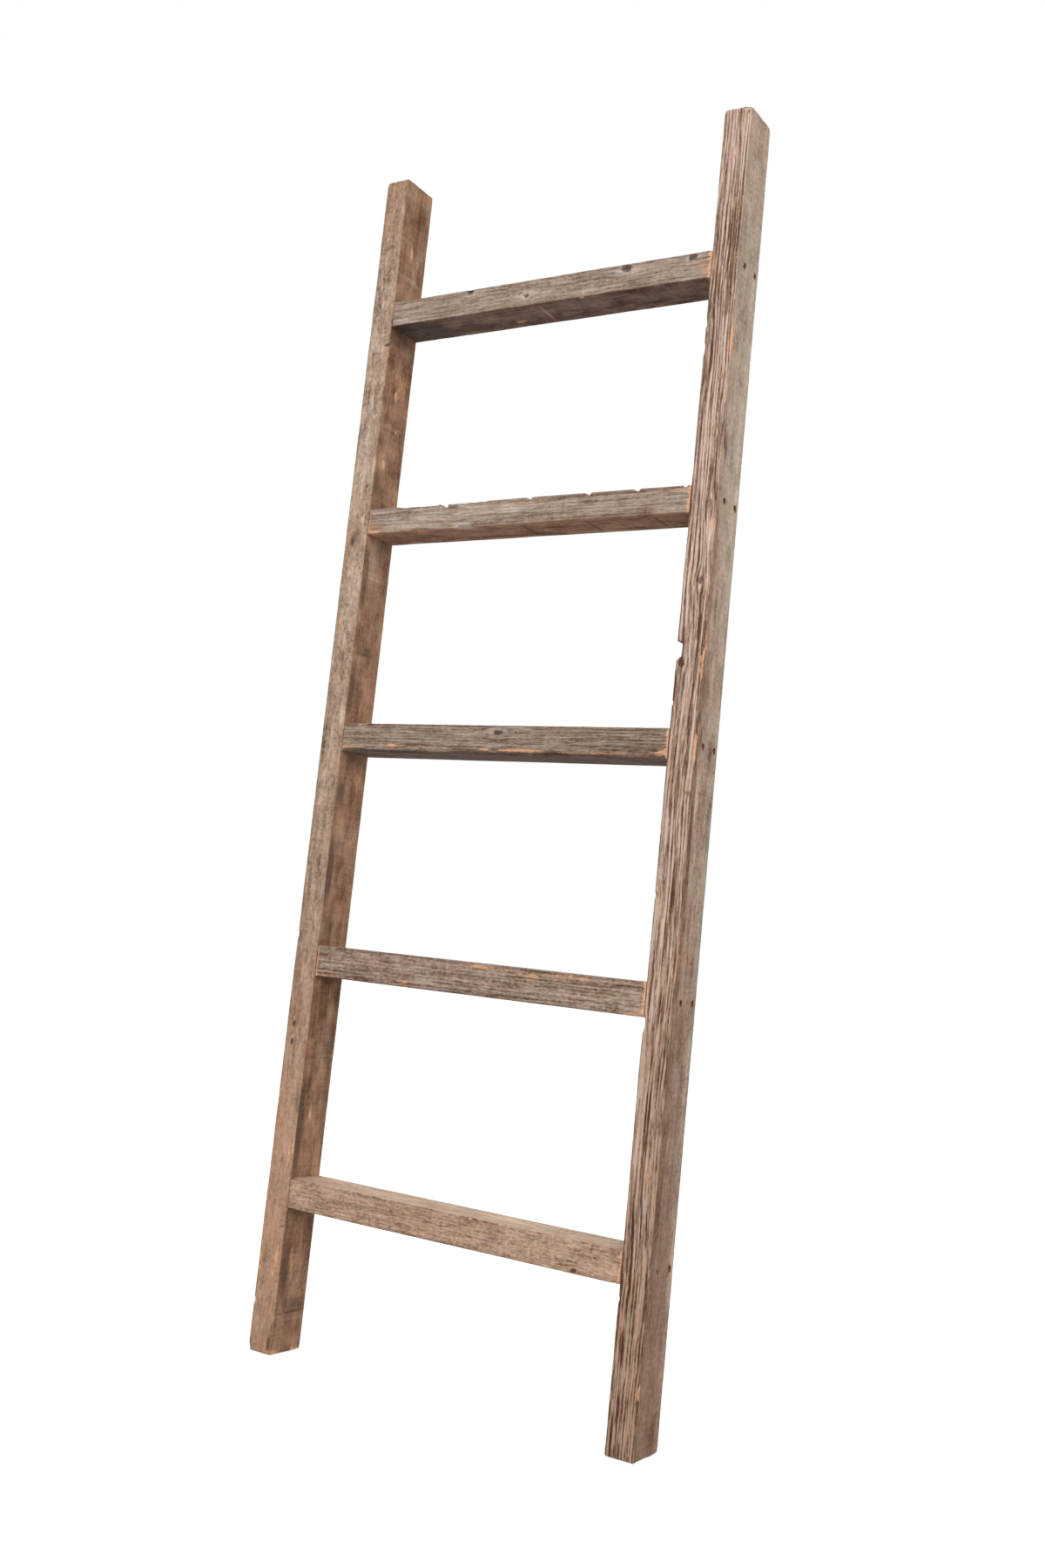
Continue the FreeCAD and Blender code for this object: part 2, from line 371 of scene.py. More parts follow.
def marks_at(board, at, normal):
    """How strongly each kind of patch marks each point. A short patch is ragged and a long one bends."""
    marks = {kind: np.zeros(len(at)) for kind in PATCH_KINDS}
    drift = DRIFT * noise(at, lumps(board, 5.0, 14.0), board.seed + 40, 2)
    bend = BEND * noise(at, lumps(board, 12.0, 110.0), board.seed + 42, 2)
    for patch in board.patches:
        axis = across_axis(board, patch.face)
        shift = drift * min(1.0, patch.half_along / FULL_DRIFT)
        u = (at[:, board.along] - patch.along + shift) / patch.half_along
        wobble = 0.2 * drift if patch.half_along < LONG_PATCH else bend
        v = (at[:, axis] - board.low[axis] - patch.across + wobble) / patch.half_across
        share = np.exp(-((u * u + v * v) ** 1.5)) * np.sqrt(face_share(normal, patch.face))
        marks[patch.kind] += patch.strength * share
    return marks


def grooves_at(board, fibre, rings):
    """How deep the grooves of the grain are, and where its pale ridges stand."""
    phase = rings - np.floor(rings)
    valley = np.clip(0.65 + 0.9 * noise(fibre, (6.0, 12.0, 90.0), board.seed + 20, 2), 0.0, 1.0)
    valley *= np.exp(-(((phase - 0.5) / 0.17) ** 2))
    crest = np.clip(0.5 + 1.2 * noise(fibre, (5.0, 10.0, 80.0), board.seed + 24, 2), 0.0, 1.0)
    crest *= np.exp(-((np.minimum(phase, 1.0 - phase) / 0.13) ** 2))
    split = smooth(noise(fibre, (1.8, 4.0, 64.0), board.seed + 23, 3), 0.08, 0.55)
    return np.clip(0.8 * valley + 0.75 * split, 0.0, 1.2), crest


def joint_clear(board, at):
    """0 where another board butts against this one, 1 elsewhere."""
    clear = np.ones(len(at))
    for low, high in board.joints:
        away = np.maximum(low - at[:, board.along], at[:, board.along] - high)
        clear = np.minimum(clear, smooth(away, -1.0, 3.0))
    return clear


FAR = 99.0                                    # further than a broken end reaches


def shape_and_paint(board, base):
    """Worn and grooved places of the points, and everything that their colours need."""
    at, normal, near, fresh = worn_box(board, base)
    a, p = board.along, board.across
    fibre, rings, knot, knot_depth = grain_at(board, at)
    looks = finish_at(board, at, normal)
    marks = marks_at(board, at, normal)
    looks["warm"] += marks["warm"]
    groove, crest = grooves_at(board, fibre, rings)
    swell = 0.5 + 0.5 * noise(base, lumps(board, 45.0, 45.0), board.seed + 21, 2)
    rough = 0.5 + 0.5 * noise(fibre, (1.4, 2.2, 16.0), board.seed + 22, 2)
    groove += marks["cut"] * (0.7 + 0.6 * rough)
    relief = looks["relief"]
    depth = (relief + 0.5 * marks["cut"]) * groove + 0.25 * swell + 0.35 * relief * rough + knot_depth
    sawn = np.zeros(len(at))
    if board.joints:
        inner = face_share(normal, (p, -1 if board.middle[p] > 0 else 1))
        depth *= 1.0 - inner * (1.0 - joint_clear(board, at))
        sawn = face_share(normal, (a, -1)) + face_share(normal, (a, 1))
        ridge = 0.5 + 0.5 * noise(fibre, (1.5, 40.0, 60.0), board.seed + 30, 2)
        end_split = smooth(noise(fibre, (24.0, 1.8, 60.0), board.seed + 31, 2), 0.3, 0.65)
        depth += sawn * (0.3 * ridge + 1.2 * end_split)
    at = at - normal * depth[:, None]
    for number, end in enumerate((-1, 1)):
        here = np.where(np.sign(base[:, a] - board.middle[a]) == end, near[:, a], FAR)
        wander = noise(at, (30.0, 4.0, 2.6), board.seed + 33 + number, 2)
        fresh = np.maximum(fresh, board.fresh_ends[number] * np.exp(-((here / (3.6 + 3.4 * wander)) ** 2)))
    edge_away = np.maximum(near[:, p], near[:, Y])
    return at, {
        **looks, "grain": fibre, "knot": knot, "groove": 0.85 * groove - crest, "sawn": sawn,
        "edge": np.exp(-edge_away / 4.0), "fresh": fresh + marks["fresh"], "stain": marks["stain"],
        "pale": marks["pale"], "hole": np.zeros(len(at)),
    }


# --- screw holes -----------------------------------------------------------------------------------------

HOLE_PATCH = 6.8                              # half the side of the square of grid that a hole replaces
# Rings of points from that square to the hole's mouth: how far each is on the way, and how dark.
HOLE_RINGS = ((0.3, 0.1), (0.58, 0.4), (0.8, 0.75), (0.93, 0.95), (1.0, 1.1))
HOLE_DEPTHS = (0.35, 1.0, 2.2, 4.2, 7.3)      # rings of points down the hole's wall
HOLE_RADIUS = 3.5                             # its radius below the mouth
MOUTH_DEPTH = 2.0                             # how far down it is as wide as that


def punch_hole(board, hole, lines, index, points, quads):
    """Cuts a square of the grid out of a face and lays rings of points from there to a hole's mouth."""
    a, c = board.along, across_axis(board, hole.face)
    middle = {a: hole.along, c: board.low[c] + hole.across}
    # The first and last grid lines of the square, on each of the face's axes in the grid's order.
    (i0, i1), (j0, j1) = [
        [int(np.argmin(np.abs(lines[axis] - (middle[axis] + s * HOLE_PATCH)))) for s in (-1, 1)]
        for axis in sorted((a, c))]
    quads[hole.face][i0:i1, j0:j1] = -1
    loop = [(i, j0) for i in range(i0, i1)]
    loop += [(i1, j) for j in range(j0, j1)]
    loop += [(i, j1) for i in range(i1, i0, -1)]
    loop += [(i0, j) for j in range(j1, j0, -1)]
    face_index = index[one_side(*hole.face)]
    rim = np.array([face_index[i, j] for i, j in loop])
    centre = points[rim[0]].copy()
    centre[a], centre[c] = middle[a], middle[c]
    offset = points[rim] - centre
    angle = np.arctan2(offset[:, a], offset[:, c])
    ragged = 1.0 + hole.ragged * noise_along(angle * 2.0 + 40.0, 1.0, board.seed + int(hole.along))
    mouth = np.zeros_like(offset)
    mouth[:, c] = np.cos(angle) * hole.mouth * ragged
    mouth[:, a] = np.sin(angle) * hole.mouth * hole.stretch * ragged
    rings = [centre + offset * (1.0 - share) + mouth * share for share, _ in HOLE_RINGS]
    turn = np.cross(offset[1] - offset[0], offset[len(offset) // 2] - offset[0])
    flip = turn[hole.face[0]] * hole.face[1] > 0
    return {"rim": rim, "rings": rings, "angle": angle, "centre": centre, "face": hole.face, "a": a, "c": c,
            "flip": flip}


def hole_wall(punched, mouth):
    """Rings of points down a screw hole, from its worn mouth to the flat bottom."""
    a, c = punched["a"], punched["c"]
    axis, side = punched["face"]
    round_a = punched["centre"][a] + np.sin(punched["angle"]) * HOLE_RADIUS
    round_c = punched["centre"][c] + np.cos(punched["angle"]) * HOLE_RADIUS
    rings = []
    for depth in HOLE_DEPTHS:
        share = min(1.0, depth / MOUTH_DEPTH)
        ring = mouth.copy()
        ring[:, a] = mouth[:, a] * (1 - share) + round_a * share
        ring[:, c] = mouth[:, c] * (1 - share) + round_c * share
        ring[:, axis] = mouth[:, axis] - side * depth
        rings.append(ring)
    return rings


def ring_quads(outer, inner, flip):
    """Quads between two rings of points."""
    quad = np.stack([outer, np.roll(outer, -1), np.roll(inner, -1), inner], axis=1)
    return quad if flip else quad[:, ::-1]


def board_points(board):
    """A board's points, the colours' values at them, and its quads and triangles."""
    lines, index, points, quads = box_grid(board)
    punched = [punch_hole(board, hole, lines, index, points, quads) for hole in board.holes]
    faces = [quad[quad[:, 0] >= 0] for quad in (q.reshape(-1, 4) for q in quads.values())]
    base = [points]
    count = len(points)
    for item in punched:
        item["ids"] = [item["rim"]]
        for ring in item["rings"]:
            item["ids"].append(np.arange(count, count + len(ring)))
            base.append(ring)
            count += len(ring)
    at, colours = shape_and_paint(board, np.concatenate(base))
    more, like, wall_shade, triangles = [], [], [], []
    for item in punched:
        ids, flip = item["ids"], item["flip"]
        faces += [ring_quads(outer, inner, flip) for outer, inner in zip(ids, ids[1:])]
        for (_, darkness), ring in zip(HOLE_RINGS, ids[1:]):
            colours["hole"][ring] = darkness
        mouth = last = ids[-1]
        rings = hole_wall(item, at[mouth])
        for number, ring in enumerate(rings):
            new = np.arange(count, count + len(ring))
            count += len(ring)
            more.append(ring)
            like.append(mouth)
            # Each ring down the wall is darker than the last and the bottom darkest: painted shade in the
            # hole.
            wall_shade.append(np.full(len(ring), 1.0 + 0.2 * number))
            faces.append(ring_quads(last, new, flip))
            last = new
        more.append(rings[-1].mean(axis=0)[None])
        like.append(mouth[:1])
        wall_shade.append(np.array([2.0]))
        fan = np.stack([last, np.roll(last, -1), np.full(len(last), count)], axis=1)
        triangles.append(fan if flip else fan[:, ::-1])
        count += 1
    if more:
        like = np.concatenate(like)
        at = np.concatenate([at] + more)
        colours = {name: np.concatenate([values, values[like]]) for name, values in colours.items()}
        colours["hole"][-len(like):] = np.concatenate(wall_shade)
    return at, colours, np.concatenate(faces), triangles


def build(board, material):
    """Makes the mesh object of a board, without the points that its holes leave unused."""
    at, colours, quads, triangles = board_points(board)
    used = np.zeros(len(at), bool)
    for corners in (quads, *triangles):
        used[corners.ravel()] = True
    renumber = np.cumsum(used) - 1
    polygons = []
    for corners in (quads, *triangles):
        polygons += renumber[corners].tolist()
    mesh = bpy.data.meshes.new("board_" + board.node)
    mesh.from_pydata((at[used] * MM).tolist(), [], polygons)
    for name, values in colours.items():
        vector = values.ndim == 2
        layer = mesh.attributes.new(name, "FLOAT_VECTOR" if vector else "FLOAT", "POINT")
        layer.data.foreach_set("vector" if vector else "value", values[used].astype(np.float32).ravel())
    mesh.polygons.foreach_set("use_smooth", np.ones(len(mesh.polygons), bool))
    mesh.materials.append(material)
    piece = bpy.data.objects.new("board_" + board.node, mesh)
    bpy.context.scene.collection.objects.link(piece)
    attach(piece, "root")
    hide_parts(board.node)


# --- materials -------------------------------------------------------------------------------------------

def colour(red, green, blue):
    """An sRGB colour written from 0 to 255, as the linear colour that a shader takes."""
    linear = []
    for value in (red, green, blue):
        value = value / 255
        linear.append(value / 12.92 if value <= 0.04045 else ((value + 0.055) / 1.055) ** 2.4)
    return (*linear, 1.0)


class Shader:
    """Adds nodes to a new material, one line each."""

    def __init__(self, name):
        self.material = bpy.data.materials.new(name)
        self.material.use_nodes = True
        self.tree = self.material.node_tree
        self.principled = self.tree.nodes["Principled BSDF"]

    def put(self, socket, value):
        if isinstance(value, bpy.types.NodeSocket):
            self.tree.links.new(value, socket)
        else:
            socket.default_value = value

    def add(self, kind, inputs, output=0, **settings):
        node = self.tree.nodes.new(kind)
        for name, value in settings.items():
            setattr(node, name, value)
        for name, value in inputs.items():
            self.put(node.inputs[name], value)
        return node.outputs[output]

    def surface(self, name, value):
        """Sets an input of the finished surface."""
        self.put(self.principled.inputs[name], value)

    def bump(self, strength, distance, height):
        bump = self.add("ShaderNodeBump", {"Strength": strength, "Distance": distance, "Height": height})
        self.surface("Normal", bump)

    def attribute(self, name, output="Fac"):
        return self.add("ShaderNodeAttribute", {}, output, attribute_name=name)

    def math(self, operation, first, second=0.0, third=0.0):
        return self.add("ShaderNodeMath", {0: first, 1: second, 2: third}, operation=operation)

    def times(self, first, second):
        return self.math("MULTIPLY", first, second)

    def move(self, vector, by):
        return self.add("ShaderNodeVectorMath", {0: vector, 1: by}, operation="ADD")

    def noise(self, vector, sizes, detail=2.0, seed=0.0):
        """Noise with lumps of the given sizes, spread out so that it fills -1 to 1."""
        factors = tuple(1.0 / size for size in sizes)
        stretched = self.add("ShaderNodeVectorMath", {0: vector, 1: factors}, operation="MULTIPLY")
        moved = self.move(stretched, (seed, seed * 0.7, seed * 1.3))
        value = self.add("ShaderNodeTexNoise", {"Vector": moved, "Scale": 1.0, "Detail": detail})
        return self.math("MULTIPLY_ADD", value, 4.0, -2.0)

    def step(self, value, low, high):
        """0 at low and before it, 1 at high and past it, and a smooth step between."""
        ends = {"Value": value, "From Min": low, "From Max": high, "To Min": 0.0, "To Max": 1.0}
        return self.add("ShaderNodeMapRange", ends, interpolation_type="SMOOTHSTEP")

    def mix(self, share, first, second, blend="MIX"):
        node = self.tree.nodes.new("ShaderNodeMix")
        node.data_type = "RGBA"
        node.blend_type = blend
        node.clamp_factor = True
        for socket, value in zip((node.inputs[0], node.inputs[6], node.inputs[7]), (share, first, second)):
            self.put(socket, value)
        return node.outputs[2]

    def tint(self, share, first, red, green, blue):
        """Multiplies a colour, as far as share says."""
        return self.mix(share, first, (red, green, blue, 1.0), "MULTIPLY")

    def ramp(self, value, stops):
        node = self.tree.nodes.new("ShaderNodeValToRGB")
        elements = node.color_ramp.elements
        while len(elements) < len(stops):
            elements.new(0.5)
        for element, (place, tone) in zip(elements, stops):
            element.position = place
            element.color = colour(*tone)
        self.put(node.inputs[0], value)
        return node.outputs[0]

    def weighted(self, *pairs):
        """The sum of each value times its weight."""
        total = 0.0
        for value, weight in pairs:
            total = self.math("MULTIPLY_ADD", value, weight, total)
        return total


# The five tones of wood, from the bottom of a groove to a dry ridge: the place of each in the range from 0
# to 1, and its red, green and blue as shares of the middling colour.
TONES = (
    (0.0, (0.57, 0.47, 0.42)), (0.25, (0.79, 0.735, 0.7)), (0.5, (1.0, 1.0, 1.0)),
    (0.75, (1.17, 1.19, 1.22)), (1.0, (1.32, 1.38, 1.46)))
BRIGHTEST = 250.0
# The tones of a knot from its middle outwards, and their places on the way.
KNOT_TONES = ((48, 33, 26), (90, 58, 42), (110, 74, 54), (58, 41, 33), (130, 102, 84))
GREY_KNOT_TONES = ((38, 28, 24), (60, 45, 37), (82, 62, 52), (44, 34, 30), (124, 102, 90))
KNOT_PLACES = (0.0, 0.2, 0.33, 0.45, 0.6)
# The colour of stains, which some patches also use as painted shade; and of tanned wood.
STAIN_AND_SHADE, TANNED = (70, 56, 50), (186, 138, 100)
RAW_TONES = ((0.0, (180, 130, 98)), (0.5, (216, 164, 128)), (1.0, (238, 203, 172)))
# The brown stain round a screw hole's mouth, and the colour that its brown wall darkens to further down,
# which is painted shade.
HOLE_RIM, HOLE_WALL_AND_SHADE = (124, 82, 60), (66, 40, 29)
STEEL, RUST = (84, 74, 68), (110, 66, 40)

# The noises that a wood is mixed from. The sizes of their lumps, in millimetres, are out from the pith,
# round it and along the grain. Then come their detail and what is added to the wood's seed. The first ones
# waver.
WAVERING = {
    "fine": ((0.8, 1.1, 9.0), 3.0, 0), "line": ((2.0, 2.8, 38.0), 3.0, 2),
    "streak": ((4.0, 5.5, 110.0), 2.0, 3), "check": ((2.6, 4.0, 75.0), 2.0, 11),
    "thread": ((2.0, 3.2, 85.0), 2.0, 23),
}
STEADY = {
    "fleck": ((1.7, 2.4, 6.5), 2.0, 4), "mottle": ((3.2, 3.2, 4.8), 3.0, 5),
    "broad": ((26.0, 26.0, 90.0), 3.0, 7), "cloud": ((19.0, 15.0, 30.0), 4.0, 8),
    "crumb": ((0.9, 0.9, 1.6), 2.0, 9), "saw": ((70.0, 50.0, 3.6), 2.0, 12),
    "hue": ((6.0, 6.0, 13.0), 3.0, 15), "ochre": ((2.6, 3.6, 48.0), 2.0, 17),
    "ring": ((1.4, 45.0, 60.0), 2.0, 25), "ray": ((26.0, 1.5, 60.0), 2.0, 27),
}
WOOD_LAYERS = (
    "lines", "specks", "clouds", "warm", "relief", "groove", "knot", "sawn", "edge", "fresh", "stain",
    "pale", "hole")


def wood_tones(middle):
    """From one middling colour, the tones that its wood has."""
    return [(place, [min(BRIGHTEST, m * f) for m, f in zip(middle, factors)]) for place, factors in TONES]


def weathered_wood(s, n, at, grey, warm):
    """The fibres' pattern, how pale the wood is, and its colour before knots, stains, painted shade and
    breaks.
    """
    check = s.times(s.step(s.math("ABSOLUTE", n["check"]), 0.09, 0.0), s.step(n["streak"], -0.3, 0.5))
    thread = s.times(s.step(s.math("ABSOLUTE", n["thread"]), 0.24, 0.0), s.step(n["line"], -0.5, 0.5))
    thread = s.times(thread, s.times(s.step(at["relief"], 0.2, 0.9), at["lines"]))
    halo = s.step(at["knot"], 2.5, 1.3)
    rings = s.times(n["ring"], at["sawn"])
    rays = s.times(s.step(n["ray"], 0.35, 0.8), at["sawn"])
    fibres = s.weighted(
        (n["fine"], 0.13), (n["line"], 0.23), (n["streak"], 0.17), (n["fleck"], 0.07), (check, -0.12))
    grains = s.weighted((n["mottle"], 0.14), (n["crumb"], 0.1), (n["fleck"], 0.1))
    tones = s.weighted((n["cloud"], 0.2), (n["broad"], 0.1), (n["saw"], 0.06))
    worn = s.times(at["groove"], s.step(at["relief"], 0.0, 0.9))
    value = s.weighted(
        (0.5, 1.0), (s.times(fibres, at["lines"]), 1.0), (s.times(grains, at["specks"]), 1.0),
        (s.times(tones, at["clouds"]), 1.0), (worn, -0.7), (at["lines"], 0.05), (at["relief"], 0.03),
        (thread, 0.42), (rings, 0.22), (rays, -0.3), (at["pale"], 0.3), (at["edge"], -0.06), (halo, 0.1))
    brown = s.weighted((at["warm"], 1.0), (n["broad"], 0.2), (n["mottle"], 0.12), (n["cloud"], 0.12),
                       (at["edge"], 0.25), (at["groove"], 0.12))
    wood = s.mix(s.step(brown, 0.0, 1.0), s.ramp(value, wood_tones(grey)), s.ramp(value, wood_tones(warm)))
    wood = s.tint(s.times(s.step(n["hue"], 0.0, 0.9), at["clouds"]), wood, 1.07, 0.965, 0.92)
    wood = s.tint(s.times(s.step(n["hue"], 0.0, -0.9), at["clouds"]), wood, 0.95, 0.995, 0.93)
    wood = s.tint(s.times(s.step(n["ochre"], 0.1, 0.9), at["lines"]), wood, 1.08, 0.94, 0.82)
    wood = s.tint(s.step(at["warm"], 0.0, -1.0), wood, 0.85, 1.035, 1.01)
    return fibres, value, wood


def blemished(s, n, at, wood, knot_tones):
    """Wood's colour with its stains and painted shade, knots, fresh breaks and holes, whose walls get
    painted shade.
    """
    # Darkens the wood for real stains and, at the patches marked with the boards, for painted shade.
    stain = s.weighted((at["stain"], 1.0), (n["mottle"], 0.2), (n["line"], 0.1), (n["cloud"], 0.12))
    wood = s.mix(s.times(s.step(stain, 0.2, 1.0), 0.72), wood, colour(*STAIN_AND_SHADE))
    knot = s.weighted((at["knot"], 1.0), (n["crumb"], 0.1), (n["mottle"], 0.26), (n["fleck"], 0.16))
    eye = s.ramp(s.times(knot, 0.5), list(zip(KNOT_PLACES, knot_tones)))
    wood = s.mix(s.times(s.step(knot, 1.35, 0.7), 0.84), wood, eye)
    bare = s.weighted(
        (at["fresh"], 1.0), (n["line"], 0.26), (n["fleck"], 0.16), (n["mottle"], 0.12), (n["fine"], 0.08))
    wood = s.mix(s.step(bare, 0.2, 0.5), wood, s.mix(0.55, wood, colour(*TANNED)))
    raw = s.ramp(s.weighted((n["line"], 0.3), (n["fine"], 0.2), (n["crumb"], 0.14), (0.5, 1.0)), RAW_TONES)
    wood = s.mix(s.times(s.step(bare, 0.45, 0.75), 0.92), wood, raw)
    hole = s.weighted((at["hole"], 1.0), (n["crumb"], 0.08), (n["line"], 0.05))
    wood = s.mix(s.step(hole, 0.3, 1.0), wood, colour(*HOLE_RIM))
    # Past the mouth the hole's brown wall darkens with depth: painted shade.
    return s.mix(s.step(hole, 1.0, 1.9), wood, colour(*HOLE_WALL_AND_SHADE))


def wood_material(name, seed, grey, warm, knot_tones):
    """Weathered wood. grey and warm are the middling colours of its dry and of its browner parts."""
    s = Shader(name)
    grain = s.attribute("grain", "Vector")
    at = {layer: s.attribute(layer) for layer in WOOD_LAYERS}
    sway = s.times(s.noise(grain, (9.0, 9.0, 24.0), 2.0, seed + 21), 0.8)
    wavy = s.move(grain, s.add("ShaderNodeCombineXYZ", {"X": sway}))
    n = {}
    for place, noises in ((wavy, WAVERING), (grain, STEADY)):
        for key, (sizes, detail, more) in noises.items():
            n[key] = s.noise(place, sizes, detail, seed + more)
    fibres, value, wood = weathered_wood(s, n, at, grey, warm)
    s.surface("Base Color", blemished(s, n, at, wood, knot_tones))
    s.surface("Roughness", s.math("MULTIPLY_ADD", value, -0.12, 0.92))
    s.surface("Specular IOR Level", 0.25)
    s.bump(0.8, 0.0009, s.weighted((fibres, 1.0), (n["mottle"], 0.08), (n["crumb"], 0.08)))
    return s.material


def screw_material():
    """Old steel, dark and rusted in spots."""
    s = Shader("rusty_screw")
    place = s.add("ShaderNodeTexCoord", {}, "Object")
    spots = s.noise(place, (0.0012, 0.0012, 0.0012), 4.0, 2.0)
    wide = s.noise(place, (0.004, 0.004, 0.004), 2.0, 5.0)
    rust = s.step(s.weighted((spots, 0.6), (wide, 0.4)), -0.4, 0.5)
    s.surface("Base Color", s.mix(rust, colour(*STEEL), colour(*RUST)))
    s.surface("Roughness", s.math("MULTIPLY_ADD", rust, 0.35, 0.5))
    s.surface("Metallic", s.math("MULTIPLY_ADD", rust, -0.8, 0.85))
    s.bump(0.5, 0.0002, spots)
    return s.material


# --- the boards of this ladder ---------------------------------------------------------------------------

rung_places = {n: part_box("rung_%d" % n) for n in range(1, RUNG_COUNT + 1)}
rung_heights = [(low.z / MM, high.z / MM) for low, high in rung_places.values()]
screw_places = {
    n: (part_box("screw_%d_left_front" % n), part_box("screw_%d_left_back" % n)) for n in rung_places}
front_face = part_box("stile_right")[0].y / MM

# The mouths of the front and the back screw hole at each rung: the radius, how much longer the mouth is
# along the grain and how ragged it is.
MOUTHS = {
    5: ((3.0, 1.2, 0.5), (2.5, 1.2, 0.3)),
    4: ((2.8, 1.3, 0.3), (3.3, 1.25, 0.3)),
    3: ((2.8, 1.5, 0.2), (2.9, 1.4, 0.2)),
    2: ((2.7, 1.2, 0.25), (2.8, 1.3, 0.3)),
    1: ((1.0, 2.0, 0.35), (2.8, 1.2, 0.3)),
}


def screw_holes(face):
    """The ten screw holes in the outer face of an upright."""
    holes = []
    for rung, pair in screw_places.items():
        for (low, high), mouth in zip(pair, MOUTHS[rung]):
            along = (low.z + high.z) / 2 / MM
            across = (low.y + high.y) / 2 / MM - front_face
            holes.append(Hole(face, along, across, *mouth))
    return holes


# Both uprights' sawn tops and feet.
END_FINISH = Finish(0.35, 0.5, 0.8, 0.8, 0.3)

